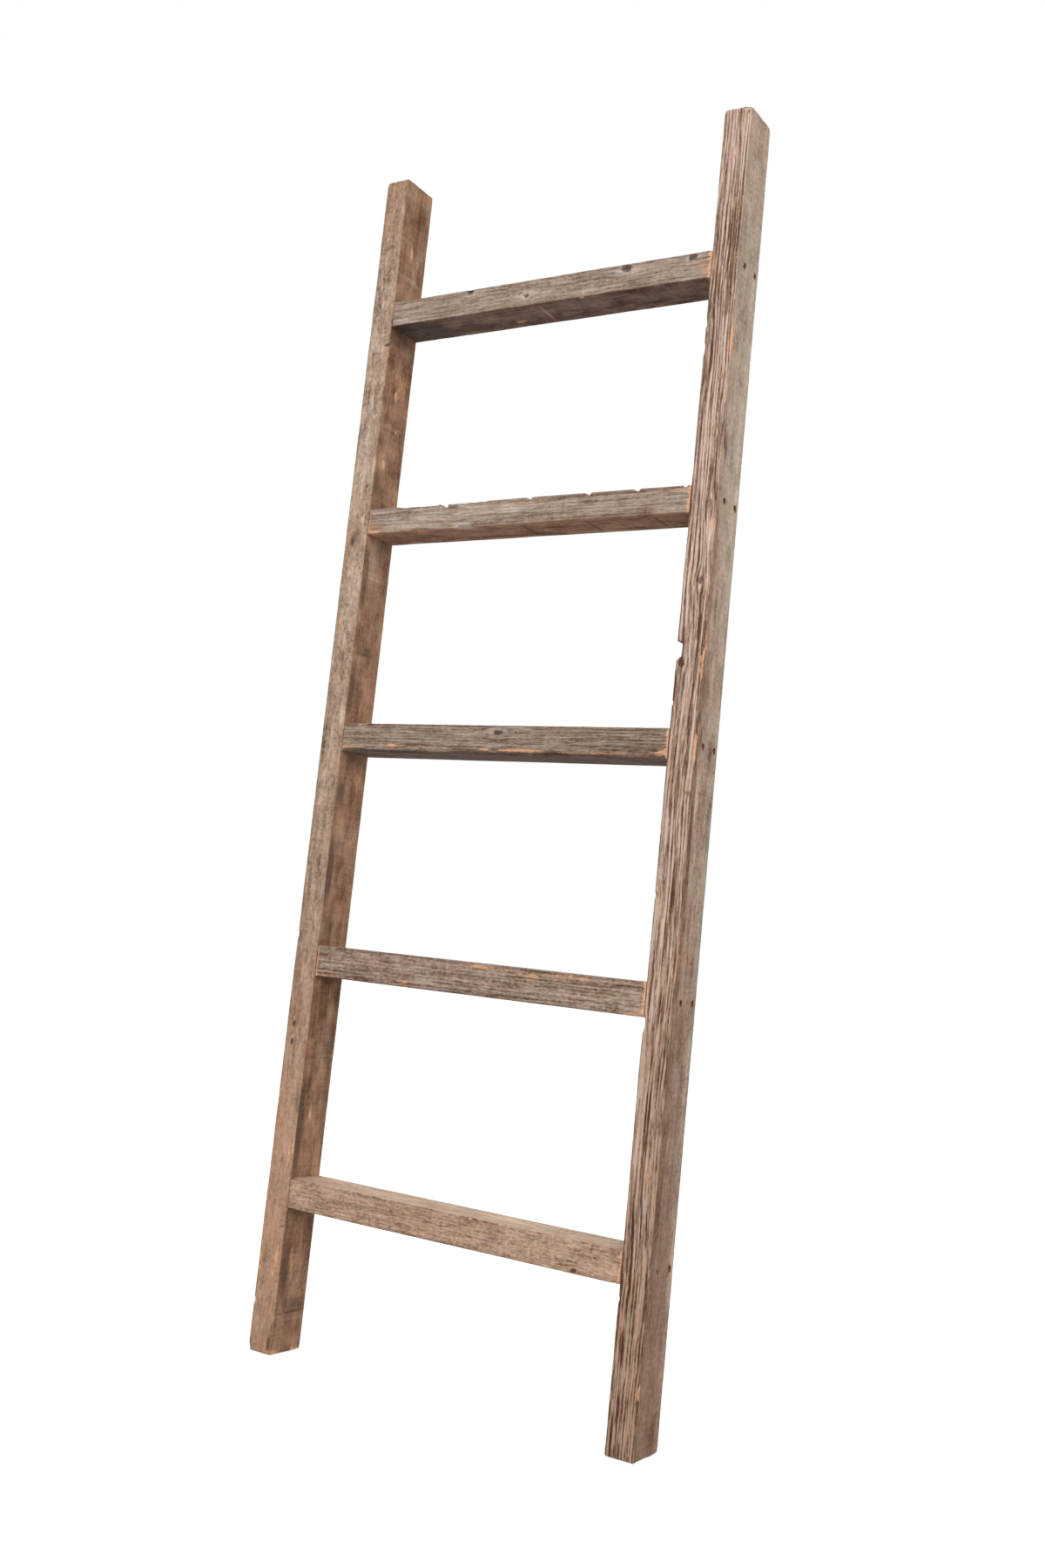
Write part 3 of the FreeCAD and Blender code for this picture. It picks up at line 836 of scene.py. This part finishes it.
right = Board(
    "stile_right", Z, X, 100, pith=(-62, 14), ring_width=3.3, wave=3.6, waver=1.7, step=5.4,
    fine_step=2.4, front_step=0.75, side_step=1.5,
    finish={
        FRONT: Finish(1, 1.05, 0.5, 0.5, -0.05, 1.1, 1.3),
        RIGHT: Finish(0.1, 0.35, 0.95, 0.8, -0.62, 1.85), LEFT: Finish(0.3, 0.7, 0.5, 0.8, 0.6, 0.4),
        BACK: Finish(0.45, 0.9, 0.5, 0.6, 0.1, 0.8), TOP: END_FINISH, BOTTOM: END_FINISH},
    edge_radius={HIGH_FRONT: 1.6, LOW_FRONT: 1.8, HIGH_BACK: 0.9, LOW_BACK: 1.3}, end_radius=2.4,
    joints=rung_heights, holes=screw_holes(RIGHT),
    knots=(Knot(FRONT, 1043, 24, 4.4, 1.9, 14, 0.8, 0.9), Knot(FRONT, 1138, 28, 3, 3, 10, 0.4, 0),
        Knot(FRONT, 939, 7.6, 4.2, 1.2, 20, 1.6, 0.97)),
    chips=(Chip(LOW_FRONT, 943, 966, 6, 0.8, 7.4, 34, 0.15),
        Chip(HIGH_FRONT, 910, 958, 24, 10, 5, 2.2, 1), Chip(HIGH_FRONT, 802, 858, 26, 14, 3.6, 2.4, 1),
        Chip(HIGH_FRONT, 1328, 1386, 20, 30, 3.2, 3.4, 0.9), Chip(LOW_FRONT, 646, 657, 2, 5, 6, 4, 1),
        Chip(HIGH_FRONT, 69, 89, 4, 6, 3.2, 3, 1), Chip(LOW_FRONT, 484, 506, 9, 2, 3.6, 6, 0.3),
        Chip(LOW_FRONT, 1376, 1391, 4, 4, 2.2, 4, 0.1), Chip(LOW_FRONT, 1341, 1358, 5, 3, 2.4, 4, 0.1),
        Chip(LOW_FRONT, 886, 893, 2, 2, 2.4, 4, 0.1), Chip(LOW_FRONT, 172, 180, 3, 2, 2.2, 4, 0.1),
        Chip(HIGH_FRONT, 1661, 1690, 17, 1, 12, 9, 0), Chip(LOW_FRONT, 1668, 1690, 12, 1, 4, 5, 0),
        Chip(HIGH_BACK, 1668, 1690, 14, 1, 4, 5, 0)),
    patches=(
        # broad tones of the two faces that show
        *patches("pale", FRONT, (1520, 19, 330, 60, -0.38), (1640, 19, 90, 60, 0.85),
            (800, 19, 2400, 90, -0.15), (150, 19, 200, 60, -0.15)),
        *patches("pale", RIGHT, (1400, 32, 420, 90, 0.24), (1130, 32, 130, 90, 0.14),
            (450, 32, 170, 90, -0.24), (800, 32, 170, 90, -0.14)),
        *patches("warm", RIGHT, (1650, 32, 110, 60, 0.3)),
        # single marks
        *patches("pale", FRONT, (758, 33, 84, 4.5, 1), (1104, 32, 26, 5, 1.1), (1300, 33, 28, 4, 1),
            (1045, 34, 14, 3, 0.8), (1350, 22, 40, 3, 0.5)),
        *patches("warm", FRONT, (148, 33, 40, 4, 0.6)),
        *patches("stain", FRONT, (776, 34, 3.6, 6, 1), (1056, 25, 20, 6, 0.3), (667, 6, 11, 6, 0.5),
            (240, 6, 40, 6, 0.22)),
        *patches("fresh", FRONT, (1330, 37, 34, 1.3, 0.42), (1215, 37.2, 60, 1, 0.4),
            (1120, 36.6, 44, 1.2, 0.42), (1010, 37.2, 60, 1.2, 0.42), (700, 37.4, 80, 0.9, 0.36),
            (600, 36.8, 60, 1, 0.38), (1468, 33, 9, 3.5, 0.5), (557, 37, 12, 2, 0.55),
            (76, 33, 3, 2.4, 0.6), (40, 36.6, 34, 0.9, 0.42)),
        *patches("cut", FRONT, (1150, 24, 34, 2.6, 0.5), (1168, 30, 30, 1.6, 0.55),
            (1062, 29, 26, 1.6, 0.5), (1060, 20, 22, 1.4, 0.5), (985, 27, 48, 1.8, 0.6),
            (960, 33, 40, 1.5, 0.5), (905, 25, 40, 1.6, 0.6), (730, 27, 90, 1.4, 0.55),
            (640, 21, 60, 1.5, 0.7), (552, 30, 46, 1.4, 0.7), (1420, 27, 50, 1.3, 0.35),
            (1330, 31, 40, 1.3, 0.35), (1290, 16, 60, 1.3, 0.4), (192, 11, 16, 1.3, 0.5)),
        *patches("pale", RIGHT, (1250, 56, 420, 12, 0.3), (660, 58, 200, 10, 0.3)),
        *patches("warm", RIGHT, (560, 2, 640, 10, 1.3), (911, 18, 30, 11, 0.9), (1040, 14, 40, 10, 0.6),
            (420, 62, 520, 15, -0.95), (485, 26, 30, 8, 0.6), (212, 52, 7, 6, 0.8)),
        *patches("stain", RIGHT, (1232, 5, 15, 4, 0.8), (665, 12, 60, 8, 0.4), (720, 2, 60, 3, 0.6),
            (440, 3, 60, 4, 0.6), (290, 2, 60, 4, 0.7), (130, 3, 60, 4, 0.5), (905, 24, 7, 4, 0.45),
            (955, 26, 1.5, 22, 0.45)),
        *patches("fresh", RIGHT, (1565, 46, 22, 9, 0.26), (1640, 12, 40, 12, 0.14),
            (577, 28, 20, 34, 0.3), (935, 12, 40, 9, 0.2), (1357, 5, 34, 6, 0.25),
            (1460, 27, 4, 1.8, 0.95), (1147, 56, 8, 6, 0.42), (526, 50, 6, 9, 0.4)),
        # scattered marks
        *scatter("pale", FRONT, 1, 70, (20, 1660), (3, 36), (25, 80), (0.7, 1.3), (0.5, 1.3)),
        *scatter("cut", FRONT, 2, 46, (20, 1500), (3, 36), (20, 60), (0.6, 1.1), (0.3, 0.7)),
        *scatter("pale", FRONT, 3, 30, (20, 900), (3, 36), (25, 70), (0.7, 1.2), (0.6, 1.3)),
        *scatter("fresh", RIGHT, 4, 30, (540, 1390), (0, 6), (4, 14), (1.5, 4), (0.14, 0.42)),
        *scatter("stain", RIGHT, 5, 26, (60, 1300), (1, 14), (4, 22), (2, 5), (0.4, 0.9)),
        *scatter("pale", RIGHT, 6, 60, (20, 1300), (4, 60), (12, 40), (2, 6), (-1, 0.9)),
    ),
)

left = Board(
    "stile_left", Z, X, 200, pith=(30, 64), ring_width=4.2, wave=3, step=4.6, fine_step=2.2, front_step=1,
    side_step=1.4,
    finish={
        FRONT: Finish(0.16, 0.5, 1.25, 0.9, 0.05, 0.7), RIGHT: Finish(0.1, 0.35, 0.7, 1.5, 1),
        LEFT: Finish(0.2, 0.4, 0.6, 0.7, 0, 0.8), BACK: Finish(0.35, 0.8, 0.5, 0.6, 0.2, 0.4),
        TOP: END_FINISH, BOTTOM: END_FINISH},
    edge_radius={HIGH_FRONT: 1.4, LOW_FRONT: 1.3, HIGH_BACK: 0.9, LOW_BACK: 1.3}, end_radius=2.2,
    joints=rung_heights, holes=screw_holes(LEFT),
    knots=(Knot(FRONT, 1122, 13, 6, 1.8, 16, 0.3, 0.86), Knot(FRONT, 436, 12, 2.6, 1.8, 8, 0.7),
        Knot(FRONT, 412, 12, 2, 2.4, 8, 0.5)),
    chips=(Chip(HIGH_FRONT, 1414.5, 1421.5, 1.5, 1.2, 12, 7, 0.05),
        Chip(LOW_FRONT, 1668, 1690, 16, 1, 4.5, 5, 0), Chip(LOW_FRONT, -14, 12, 1, 18, 6, 6, 0.3),
        Chip(LOW_FRONT, 60, 70, 4, 3, 2.6, 5, 0.1), Chip(LOW_FRONT, 551, 565, 4, 4, 3, 3, 0.2)),
    patches=(
        # broad tones of the two faces that show
        *patches("pale", FRONT, (1200, 19, 240, 40, 0.2), (160, 19, 300, 60, 1.15),
            (1660, 19, 90, 60, 0.16)),
        *patches("warm", FRONT, (200, 10, 190, 30, 0.3), (1660, 19, 120, 60, 0.5)),
        *patches("pale", RIGHT, (1600, 32, 66, 44, -0.3), (1400, 32, 110, 90, -0.32),
            (480, 32, 110, 90, -0.25), (1100, 32, 110, 90, 0.13), (30, 32, 60, 90, -0.15)),
        # single marks
        *patches("pale", FRONT, (1085, 26, 24, 10, 0.45), (820, 24, 40, 12, 0.4), (500, 24, 30, 10, 0.5)),
        *patches("warm", FRONT, (470, 12, 60, 14, 0.35), (1130, 16, 26, 12, 0.6)),
        # The last of these, at 1418, is painted shade in the notch of the front edge; the others are stains.
        *patches("stain", FRONT, (1124, 14, 14, 8, 0.75), (1140, 20, 10, 6, 0.5), (556, 4, 12, 6, 0.7),
            (411, 12, 5, 3, 0.7), (437, 11, 6, 4, 0.6), (168, 34, 1.6, 5, 0.9), (1418, 33, 2.2, 7, 1.3)),
        *patches("fresh", FRONT, (1007, 9, 8, 2.6, 0.95), (998, 13, 8, 2.4, 0.7), (1106, 6, 10, 3, 0.6),
            (1403, 34.5, 13, 4, 0.5), (1470, 37, 22, 2.5, 0.35), (369, 6, 4, 3, 0.5),
            (20, 20, 26, 24, 0.26), (110, 26, 60, 8, 0.16), (2, 34, 6, 6, 0.5)),
        *patches("pale", RIGHT, (1189, 30, 1.8, 30, 0.7), (952, 20, 5, 24, 0.4), (733, 30, 1.8, 28, 0.45),
            (44, 30, 2, 30, 0.45)),
        *patches("warm", RIGHT, (1300, 30, 3.6, 32, -0.9), (1528, 32, 4.2, 34, -0.9),
            (1073, 30, 2.4, 32, -0.45)),
        # Of these, the patch at 1434 is painted shade under rung 5, on wood that is dark reddish brown
        # there.
        *patches("stain", RIGHT, (300, 6, 80, 10, 1), (650, 4, 50, 9, 1.1), (570, 18, 24, 12, 0.6),
            (110, 11, 44, 10, 0.9), (310, 56, 56, 8, 0.6), (968, 33, 8, 12, 0.8), (907, 6, 44, 8, 0.9),
            (1050, 8, 34, 9, 0.8), (1070, 34, 30, 18, 0.2), (1215, 7, 26, 10, 0.8),
            (761, 12, 20, 10, 0.8), (1434, 26, 16, 40, 0.75), (1120, 40, 16, 30, 0.35),
            (1400, 44, 18, 10, 0.5), (1255, 24, 8, 5, 0.5), (1338, 24, 6, 5, 0.7), (64, 42, 11, 18, 0.7),
            (781, 31, 4, 3, 0.7), (658, 25, 4, 3, 0.6), (1013, 27, 3, 2.5, 0.6), (1644, 32, 3, 34, 0.6),
            (961, 26, 2, 26, 0.7), (798, 28, 1.6, 22, 0.6), (53, 32, 1.5, 36, 0.9),
            (1307, 26, 1.6, 30, 0.5)),
        *patches("fresh", RIGHT, (1348, 30, 7, 4, 0.8), (1568, 27, 11, 3.6, 0.8), (1593, 42, 4, 3, 0.5),
            (318, 26, 9, 4, 0.9), (1241, 20, 7, 4, 0.85), (1296, 40, 4, 3, 0.5), (1100, 25, 4, 3, 0.5),
            (882, 31, 6, 3, 0.6), (176, 28, 5, 5, 0.5), (118, 26, 30, 9, 0.34), (1362, 42, 36, 20, 0.36),
            (1662, 30, 14, 22, 0.3), (880, 42, 20, 12, 0.3), (1005, 40, 26, 20, 0.2),
            (785, 46, 22, 12, 0.27), (640, 42, 50, 14, 0.15), (412, 10, 6, 8, 0.35),
            (78, 50, 22, 9, 0.26), (25, 30, 22, 26, 0.22), (3, 8, 5, 10, 0.7), (2, 50, 4.5, 10, 0.6)),
        # scattered marks
        *scatter("pale", FRONT, 11, 130, (20, 1660), (2, 36), (4, 12), (1, 2.4), (0.4, 1.1)),
        *scatter("stain", FRONT, 12, 60, (20, 1300), (2, 36), (3, 9), (1, 2.4), (0.12, 0.36)),
        *scatter("fresh", FRONT, 15, 14, (10, 340), (4, 34), (10, 40), (3, 9), (0.2, 0.36)),
        *scatter("stain", FRONT, 16, 12, (10, 340), (2, 36), (6, 20), (2, 6), (0.4, 0.75)),
        *scatter("pale", FRONT, 17, 50, (20, 1000), (2, 36), (6, 30), (1.5, 4), (-1, 0.9)),
        *scatter("pale", RIGHT, 18, 44, (20, 1100), (4, 60), (6, 26), (2, 6), (-0.8, 0.7)),
        *scatter("warm", RIGHT, 13, 12, (20, 1660), (5, 55), (14, 45), (5, 18), (-0.6, -0.2)),
        *scatter("fresh", RIGHT, 14, 18, (20, 1660), (8, 56), (6, 30), (4, 12), (0.12, 0.32)),
    ),
)

RUNG_LOOKS = {
    5: dict(
        seed=500, pith=(60, 20), ring_width=4, front=Finish(0.25, 1, 0.8, 0.7, 0.05),
        edge_radius={LOW_FRONT: 2.6, HIGH_FRONT: 1.7}, fresh_ends=(0.35, 1),
        knots=(Knot(FRONT, -24, 15.3, 4.4, 1.7, 12, 0.6, 0.9), Knot(FRONT, 129, 31.5, 5.2, 1.5, 12, 0.9),
            Knot(FRONT, 225.7, 32, 5.2, 1.2, 12, 0.9), Knot(FRONT, -119, 36, 4.6, 1.3, 12, 0.7)),
        chips=(Chip(LOW_FRONT, 59, 69, 3, 3, 3.6, 3, 0.9),),
        patches=(
            # Painted shade: the front and middle of the underside a little darker.
            *patches("pale", BOTTOM, (0, 20, 300, 30, -0.15)),
            *patches("pale", FRONT, (-225, 8, 34, 6, 0.4), (-24, 15, 24, 7, 0.35),
                (130, 27, 26, 9, 0.35)),
            *patches("stain", FRONT, (-150, 14, 24, 3, 0.35), (-119, 37, 9, 6, 0.9)),
            *patches("fresh", FRONT, (242, 14, 12, 15, 0.42)),
            *patches("pale", BOTTOM, (-7, 30, 2.4, 22, 2.2), (0, 52, 300, 16, -0.6)),
            # The two broad patches at -222 and -130 are painted shade at the left end of the underside, near
            # the left upright; the small ones are stains.
            *patches("stain", BOTTOM, (40, 54, 8, 5, 0.8), (214, 48, 8, 6, 0.8), (-222, 30, 50, 44, 1.5),
                (-130, 44, 50, 12, 0.6)),
            *patches("fresh", BOTTOM, (-58, 46, 13, 4, 0.8), (160, 56, 10, 5, 0.24),
                (-160, 12, 40, 9, 0.14), (-96, 24, 22, 6, 0.2)),
            *scatter("pale", BOTTOM, 51, 26, (-240, 240), (4, 60), (8, 30), (3, 9), (-0.5, 0.5)))),
    4: dict(
        seed=400, pith=(50, 30), ring_width=3.6, front=Finish(0.3, 1.05, 0.5, 0.8, 0.05),
        edge_radius={LOW_FRONT: 2, HIGH_FRONT: 1.5}, fresh_ends=(0.6, 1),
        knots=(Knot(FRONT, -104, 25, 5, 1.3, 14, 0.3, 0), Knot(FRONT, -210, 21.5, 2.4, 2, 9, 0.3, 0.8)),
        chips=(Chip(HIGH_FRONT, -130, -116.5, 3, 1.5, 8, 31, 0.1),
            Chip(HIGH_FRONT, -202, -130, 8, 4, 1.8, 26, 0), Chip(HIGH_FRONT, -118, -50, 3, 6, 1.6, 26, 0),
            Chip(HIGH_FRONT, 10, 19, 3, 4, 4.6, 22, 0), Chip(HIGH_FRONT, 100, 109, 3, 3, 4.2, 22, 0),
            Chip(HIGH_FRONT, 171, 181, 3, 3, 3.6, 22, 0), Chip(HIGH_FRONT, 240, 247, 2, 2, 3.4, 14, 0),
            Chip(LOW_FRONT, -100, -68, 4, 6, 4.2, 8, 0.3),
            Chip(LOW_FRONT, -172, -142, 8, 8, 2.4, 9, 0.42)),
        patches=(
            *patches("pale", FRONT, (170, 18, 110, 40, -0.3)),
            # Painted shade: the whole underside a little darker.
            *patches("pale", BOTTOM, (0, 40, 300, 40, -0.12)),
            *patches("pale", FRONT, (-60, 22, 60, 10, 0.35), (-86, 3, 17, 3.2, 2.2)),
            *patches("stain", FRONT, (-108, 32, 12, 4, 0.75), (-80, 34, 16, 2, 0.5)),
            *patches("fresh", FRONT, (-243, 6, 12, 12, 0.5), (-242, 1, 12, 3, 0.8), (60, 2, 60, 2, 0.35),
                (-166, 2, 16, 2, 0.5)),
            *patches("cut", FRONT, (-110, 22, 9, 1.2, 1), (90, 5, 50, 1.4, 0.8), (-40, 16, 60, 1.2, 0.6)),
            *patches("pale", BOTTOM, (0, 1, 300, 6, 1), (-86, 4, 15, 6, 3)),
            *patches("warm", BOTTOM, (-86, 4, 16, 7, -0.7)),
            *patches("stain", BOTTOM, (2, 34, 2.6, 30, 1.2), (100, 32, 3, 30, 1.2), (198, 32, 3, 30, 1),
                (-230, 30, 20, 30, 0.4)),
            *patches("fresh", BOTTOM, (-240, 8, 16, 9, 0.7), (-168, 7, 20, 7, 0.5)),
            *scatter("pale", BOTTOM, 41, 26, (-240, 240), (4, 60), (8, 30), (3, 9), (-0.6, 0.6)))),
    3: dict(
        seed=300, pith=(70, 16), ring_width=3.4, front=Finish(0.34, 1.3, 0.85, 0.7, 0.05),
        edge_radius={LOW_FRONT: 3.4, HIGH_FRONT: 1.6}, fresh_ends=(0.6, 1),
        knots=(Knot(FRONT, 3, 29.5, 3.8, 1.9, 12, 0.5), Knot(FRONT, 31, 30.5, 1.6, 1.4, 9, 0.3)),
        chips=(Chip(LOW_FRONT, -250, -195, 3, 30, 6, 5, 0),
            Chip(LOW_FRONT, -180, -100, 10, 30, 3.6, 4, 0), Chip(LOW_FRONT, -90, 218, 40, 60, 5, 4.4, 0),
            Chip(LOW_FRONT, 224, 251, 8, 3, 7, 5, 0)),
        patches=(
            *patches("pale", FRONT, (190, 20, 130, 40, -0.42)),
            *patches("pale", FRONT, (-50, 22, 22, 4, 0.4)),
            *patches("stain", FRONT, (60, 2.5, 200, 2.5, 0.8), (-205, 2, 50, 2.5, 0.8),
                (6, 27, 16, 4, 0.6)),
            *patches("fresh", FRONT, (-221, 38, 14, 2, 0.5), (-230, 6.5, 24, 1.7, 0.85),
                (-168, 9, 9, 3, 0.85), (-140, 5, 30, 1.4, 0.5), (-79, 7, 5, 1.8, 0.8),
                (-14, 7, 9, 2, 0.85), (38, 7.5, 38, 2, 1), (150, 6, 70, 1.8, 0.5), (243, 8, 9, 5, 0.9)),
            # Painted shade: the whole underside darker.
            *patches("stain", BOTTOM, (0, 30, 300, 60, 0.35)))),
    2: dict(
        seed=20, pith=(58, 24), ring_width=3.5, front=Finish(0.4, 1.2, 1.6, 0.9, 0.05),
        edge_radius={LOW_FRONT: 1.8, HIGH_FRONT: 1.7}, fresh_ends=(1, 1),
        chips=(Chip(LOW_FRONT, -112, -94, 6, 6, 5, 2.5, 0.6),
            Chip(LOW_FRONT, 42, 70, 12, 12, 4, 2.5, 0.6), Chip(LOW_FRONT, 222, 251, 14, 1, 5, 3, 0.7),
            Chip(LOW_FRONT, -249, -228, 2, 12, 5, 3, 0.8)),
        patches=(
            *patches("pale", FRONT, (0, 18, 80, 30, 0.1)),
            *patches("pale", FRONT, (170, 12, 70, 10, 0.2)),
            *patches("stain", FRONT, (0, 1.5, 250, 2, 0.5), (75, 18, 14, 8, 0.4)),
            *patches("fresh", FRONT, (24, 36, 46, 2, 0.6), (12, 38, 18, 2.2, 0.66), (93, 33, 9, 7, 0.6),
                (74, 34, 6, 3, 0.5), (140, 38, 42, 2.6, 0.46), (166, 36, 8, 3, 0.5),
                (-102, 7, 12, 2.2, 0.6), (-232, 3, 16, 2, 0.6), (234, 4, 16, 2.6, 0.6),
                (60, 16, 30, 6, 0.16)))),
    1: dict(
        seed=10, pith=(-46, 20), ring_width=3.2, front=Finish(0.16, 0.75, 1.5, 0.8, 0.1),
        edge_radius={LOW_FRONT: 1.6, HIGH_FRONT: 1.5}, fresh_ends=(0.45, 0.8),
        knots=(Knot(FRONT, 190, 4.5, 2.4, 1.5, 9, 0.5), Knot(FRONT, 216, 23.5, 1.3, 1.2, 6, 0.3)),
        chips=(Chip(LOW_FRONT, 241, 248, 2, 2, 3.6, 4, 0.4), Chip(HIGH_FRONT, 34, 42, 3, 3, 4, 2, 0.8)),
        patches=(
            *patches("pale", FRONT, (170, 18, 90, 30, 0.2)),
            # Painted light: the whole top face is made paler.
            *patches("pale", TOP, (0, 40, 340, 70, 0.7)),
            *patches("warm", TOP, (0, 40, 340, 70, -0.2)),
            *patches("warm", FRONT, (-60, 26, 60, 9, 0.3)),
            *patches("fresh", FRONT, (60, 20, 300, 20, 0.1)),
            *patches("stain", TOP, (195, 20, 30, 14, 0.4), (-70, 14, 20, 14, 0.3),
                (68, 18, 12, 18, 0.28)))),
}

RUNG_FINISH = {
    TOP: Finish(0.25, 0.6, 0.8, 0.8, -0.1), BOTTOM: Finish(0.2, 0.5, 0.6, 1.5, 1.0),
    BACK: Finish(0.3, 0.9, 0.6, 0.6, 0.3)}

# The middling colours of each board's dry and of its browner parts.
WOOD_COLOURS = {
    "stile_right": ((165, 140, 123), (138, 110, 91)),
    "stile_left": ((168, 145, 127), (145, 111, 87)),
    "rung_5": ((153, 136, 122), (130, 107, 93)),
    "rung_4": ((157, 140, 126), (156, 119, 96)),
    "rung_3": ((140, 122, 108), (110, 90, 77)),
    "rung_2": ((145, 124, 109), (118, 94, 80)),
    "rung_1": ((172, 143, 121), (151, 117, 95)),
}
FIRST_WOOD_SEED, WOOD_SEED_STEP = 1.0, 4.3
materials = {}
for number, (name, (grey, warm)) in enumerate(WOOD_COLOURS.items()):
    knot_tones = KNOT_TONES if name.startswith("stile") else GREY_KNOT_TONES
    seed = FIRST_WOOD_SEED + WOOD_SEED_STEP * number
    materials[name] = wood_material("wood_" + name, seed, grey, warm, knot_tones)

build(left, materials["stile_left"])
build(right, materials["stile_right"])
for number, looks in RUNG_LOOKS.items():
    finish = {**RUNG_FINISH, FRONT: looks.pop("front")}
    rung = Board(
        "rung_%d" % number, X, Z, looks.pop("seed"), wave=2.0, waver=0.35, step=2.6, fine_step=1.3,
        front_step=0.95, side_step=1.3, end_radius=1.8, finish=finish, **looks)
    build(rung, materials["rung_%d" % number])

rust = screw_material()
for name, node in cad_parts.items():
    if name.startswith("screw_"):
        node.data.materials.clear()
        node.data.materials.append(rust)

# --- floor, light and camera -----------------------------------------------------------------------------

SKY_LIGHT = 0.62            # strength of the even light from all round
FLOOR_SIZE = 14.0           # metres
FLOOR_BOUNCE = 0.42         # how pale the floor is to the light that it throws back on the object
FLOOR_GREY = 0.62           # how pale it is to the camera
FLOOR_GLOW = 0.62           # the light that it adds to that, so that it comes out white
LAMP_AIM = (0.0, 0.0, 0.8)  # the middle of the ladder


def white(level=1.0):
    return (level, level, level, 1.0)


def add_object(name, data):
    item = bpy.data.objects.new(name, data)
    bpy.context.scene.collection.objects.link(item)
    return item


def by_ray(tree, lighting, seen, output):
    """Gives the camera, straight or in a gloss, one shader, and light on its way to the object another."""
    path = tree.nodes.new("ShaderNodeLightPath")
    directly = path.outputs["Is Camera Ray"]
    for name in ("Is Glossy Ray", "Is Transmission Ray"):
        larger = tree.nodes.new("ShaderNodeMath")
        larger.operation = "MAXIMUM"
        tree.links.new(directly, larger.inputs[0])
        tree.links.new(path.outputs[name], larger.inputs[1])
        directly = larger.outputs[0]
    mixed = tree.nodes.new("ShaderNodeMixShader")
    tree.links.new(directly, mixed.inputs[0])
    tree.links.new(lighting.outputs[0], mixed.inputs[1])
    tree.links.new(seen.outputs[0], mixed.inputs[2])
    tree.links.new(mixed.outputs[0], tree.nodes.new(output).inputs["Surface"])


def make_world():
    world = bpy.data.worlds.new("studio")
    world.use_nodes = True
    tree = world.node_tree
    tree.nodes.clear()
    lighting = tree.nodes.new("ShaderNodeBackground")
    lighting.inputs["Strength"].default_value = SKY_LIGHT
    backdrop = tree.nodes.new("ShaderNodeBackground")
    for shader in (lighting, backdrop):
        shader.inputs["Color"].default_value = white()
    by_ray(tree, lighting, backdrop, "ShaderNodeOutputWorld")
    bpy.context.scene.world = world


def make_floor():
    """A plain pale floor, which keeps the object's shadow."""
    half = FLOOR_SIZE / 2
    mesh = bpy.data.meshes.new("floor")
    corners = [(-half, -half, 0), (half, -half, 0), (half, half, 0), (-half, half, 0)]
    mesh.from_pydata(corners, [], [(0, 1, 2, 3)])
    material = bpy.data.materials.new("pale_floor")
    material.use_nodes = True
    tree = material.node_tree
    tree.nodes.clear()
    bounce = tree.nodes.new("ShaderNodeBsdfDiffuse")
    bounce.inputs["Color"].default_value = white(FLOOR_BOUNCE)
    matt = tree.nodes.new("ShaderNodeBsdfDiffuse")
    matt.inputs["Color"].default_value = white(FLOOR_GREY)
    glow = tree.nodes.new("ShaderNodeEmission")
    glow.inputs["Strength"].default_value = FLOOR_GLOW
    pale = tree.nodes.new("ShaderNodeAddShader")
    tree.links.new(matt.outputs[0], pale.inputs[0])
    tree.links.new(glow.outputs[0], pale.inputs[1])
    by_ray(tree, bounce, pale, "ShaderNodeOutputMaterial")
    mesh.materials.append(material)
    add_object("floor", mesh)


def make_lamp(name, place, size, power):
    """A large square soft lamp, aimed at the ladder."""
    data = bpy.data.lights.new(name, "AREA")
    data.shape = "SQUARE"
    data.size = size
    data.energy = power
    lamp = add_object(name, data)
    lamp.location = place
    lamp.rotation_euler = (Vector(LAMP_AIM) - Vector(place)).to_track_quat("-Z", "Y").to_euler()


CAMERA_PLACE = (1.10458, -1.77010, 0.56152)
CAMERA_TURN = (97.8971, -6.0841, 32.5376)   # degrees
PHOTO_WIDTH, PHOTO_HEIGHT = 1200, 1800      # pixels
OPTICAL_CENTRE = (539.37, 839.76)           # in those pixels, from the top left
FOCAL_PIXELS = 1808.02
SENSOR = 36.0                               # millimetres
FAR_END = 100.0                             # metres, past which the camera sees nothing


def make_camera():
    data = bpy.data.cameras.new("camera")
    data.sensor_width = SENSOR
    data.sensor_fit = "AUTO"
    data.lens = FOCAL_PIXELS * SENSOR / PHOTO_HEIGHT
    data.shift_x = (PHOTO_WIDTH / 2 - OPTICAL_CENTRE[0]) / PHOTO_HEIGHT
    data.shift_y = (OPTICAL_CENTRE[1] - PHOTO_HEIGHT / 2) / PHOTO_HEIGHT
    data.clip_end = FAR_END
    camera = add_object("camera", data)
    camera.location = CAMERA_PLACE
    camera.rotation_euler = Euler([math.radians(v) for v in CAMERA_TURN], "XYZ")
    bpy.context.scene.camera = camera


make_world()
make_floor()
make_lamp("key", (3.9, -4.9, 3.9), 4.4, 330.0)
make_lamp("fill", (-3.4, 3.6, 2.8), 3.4, 70.0)
make_camera()
bpy.context.scene.view_settings.view_transform = "Standard"
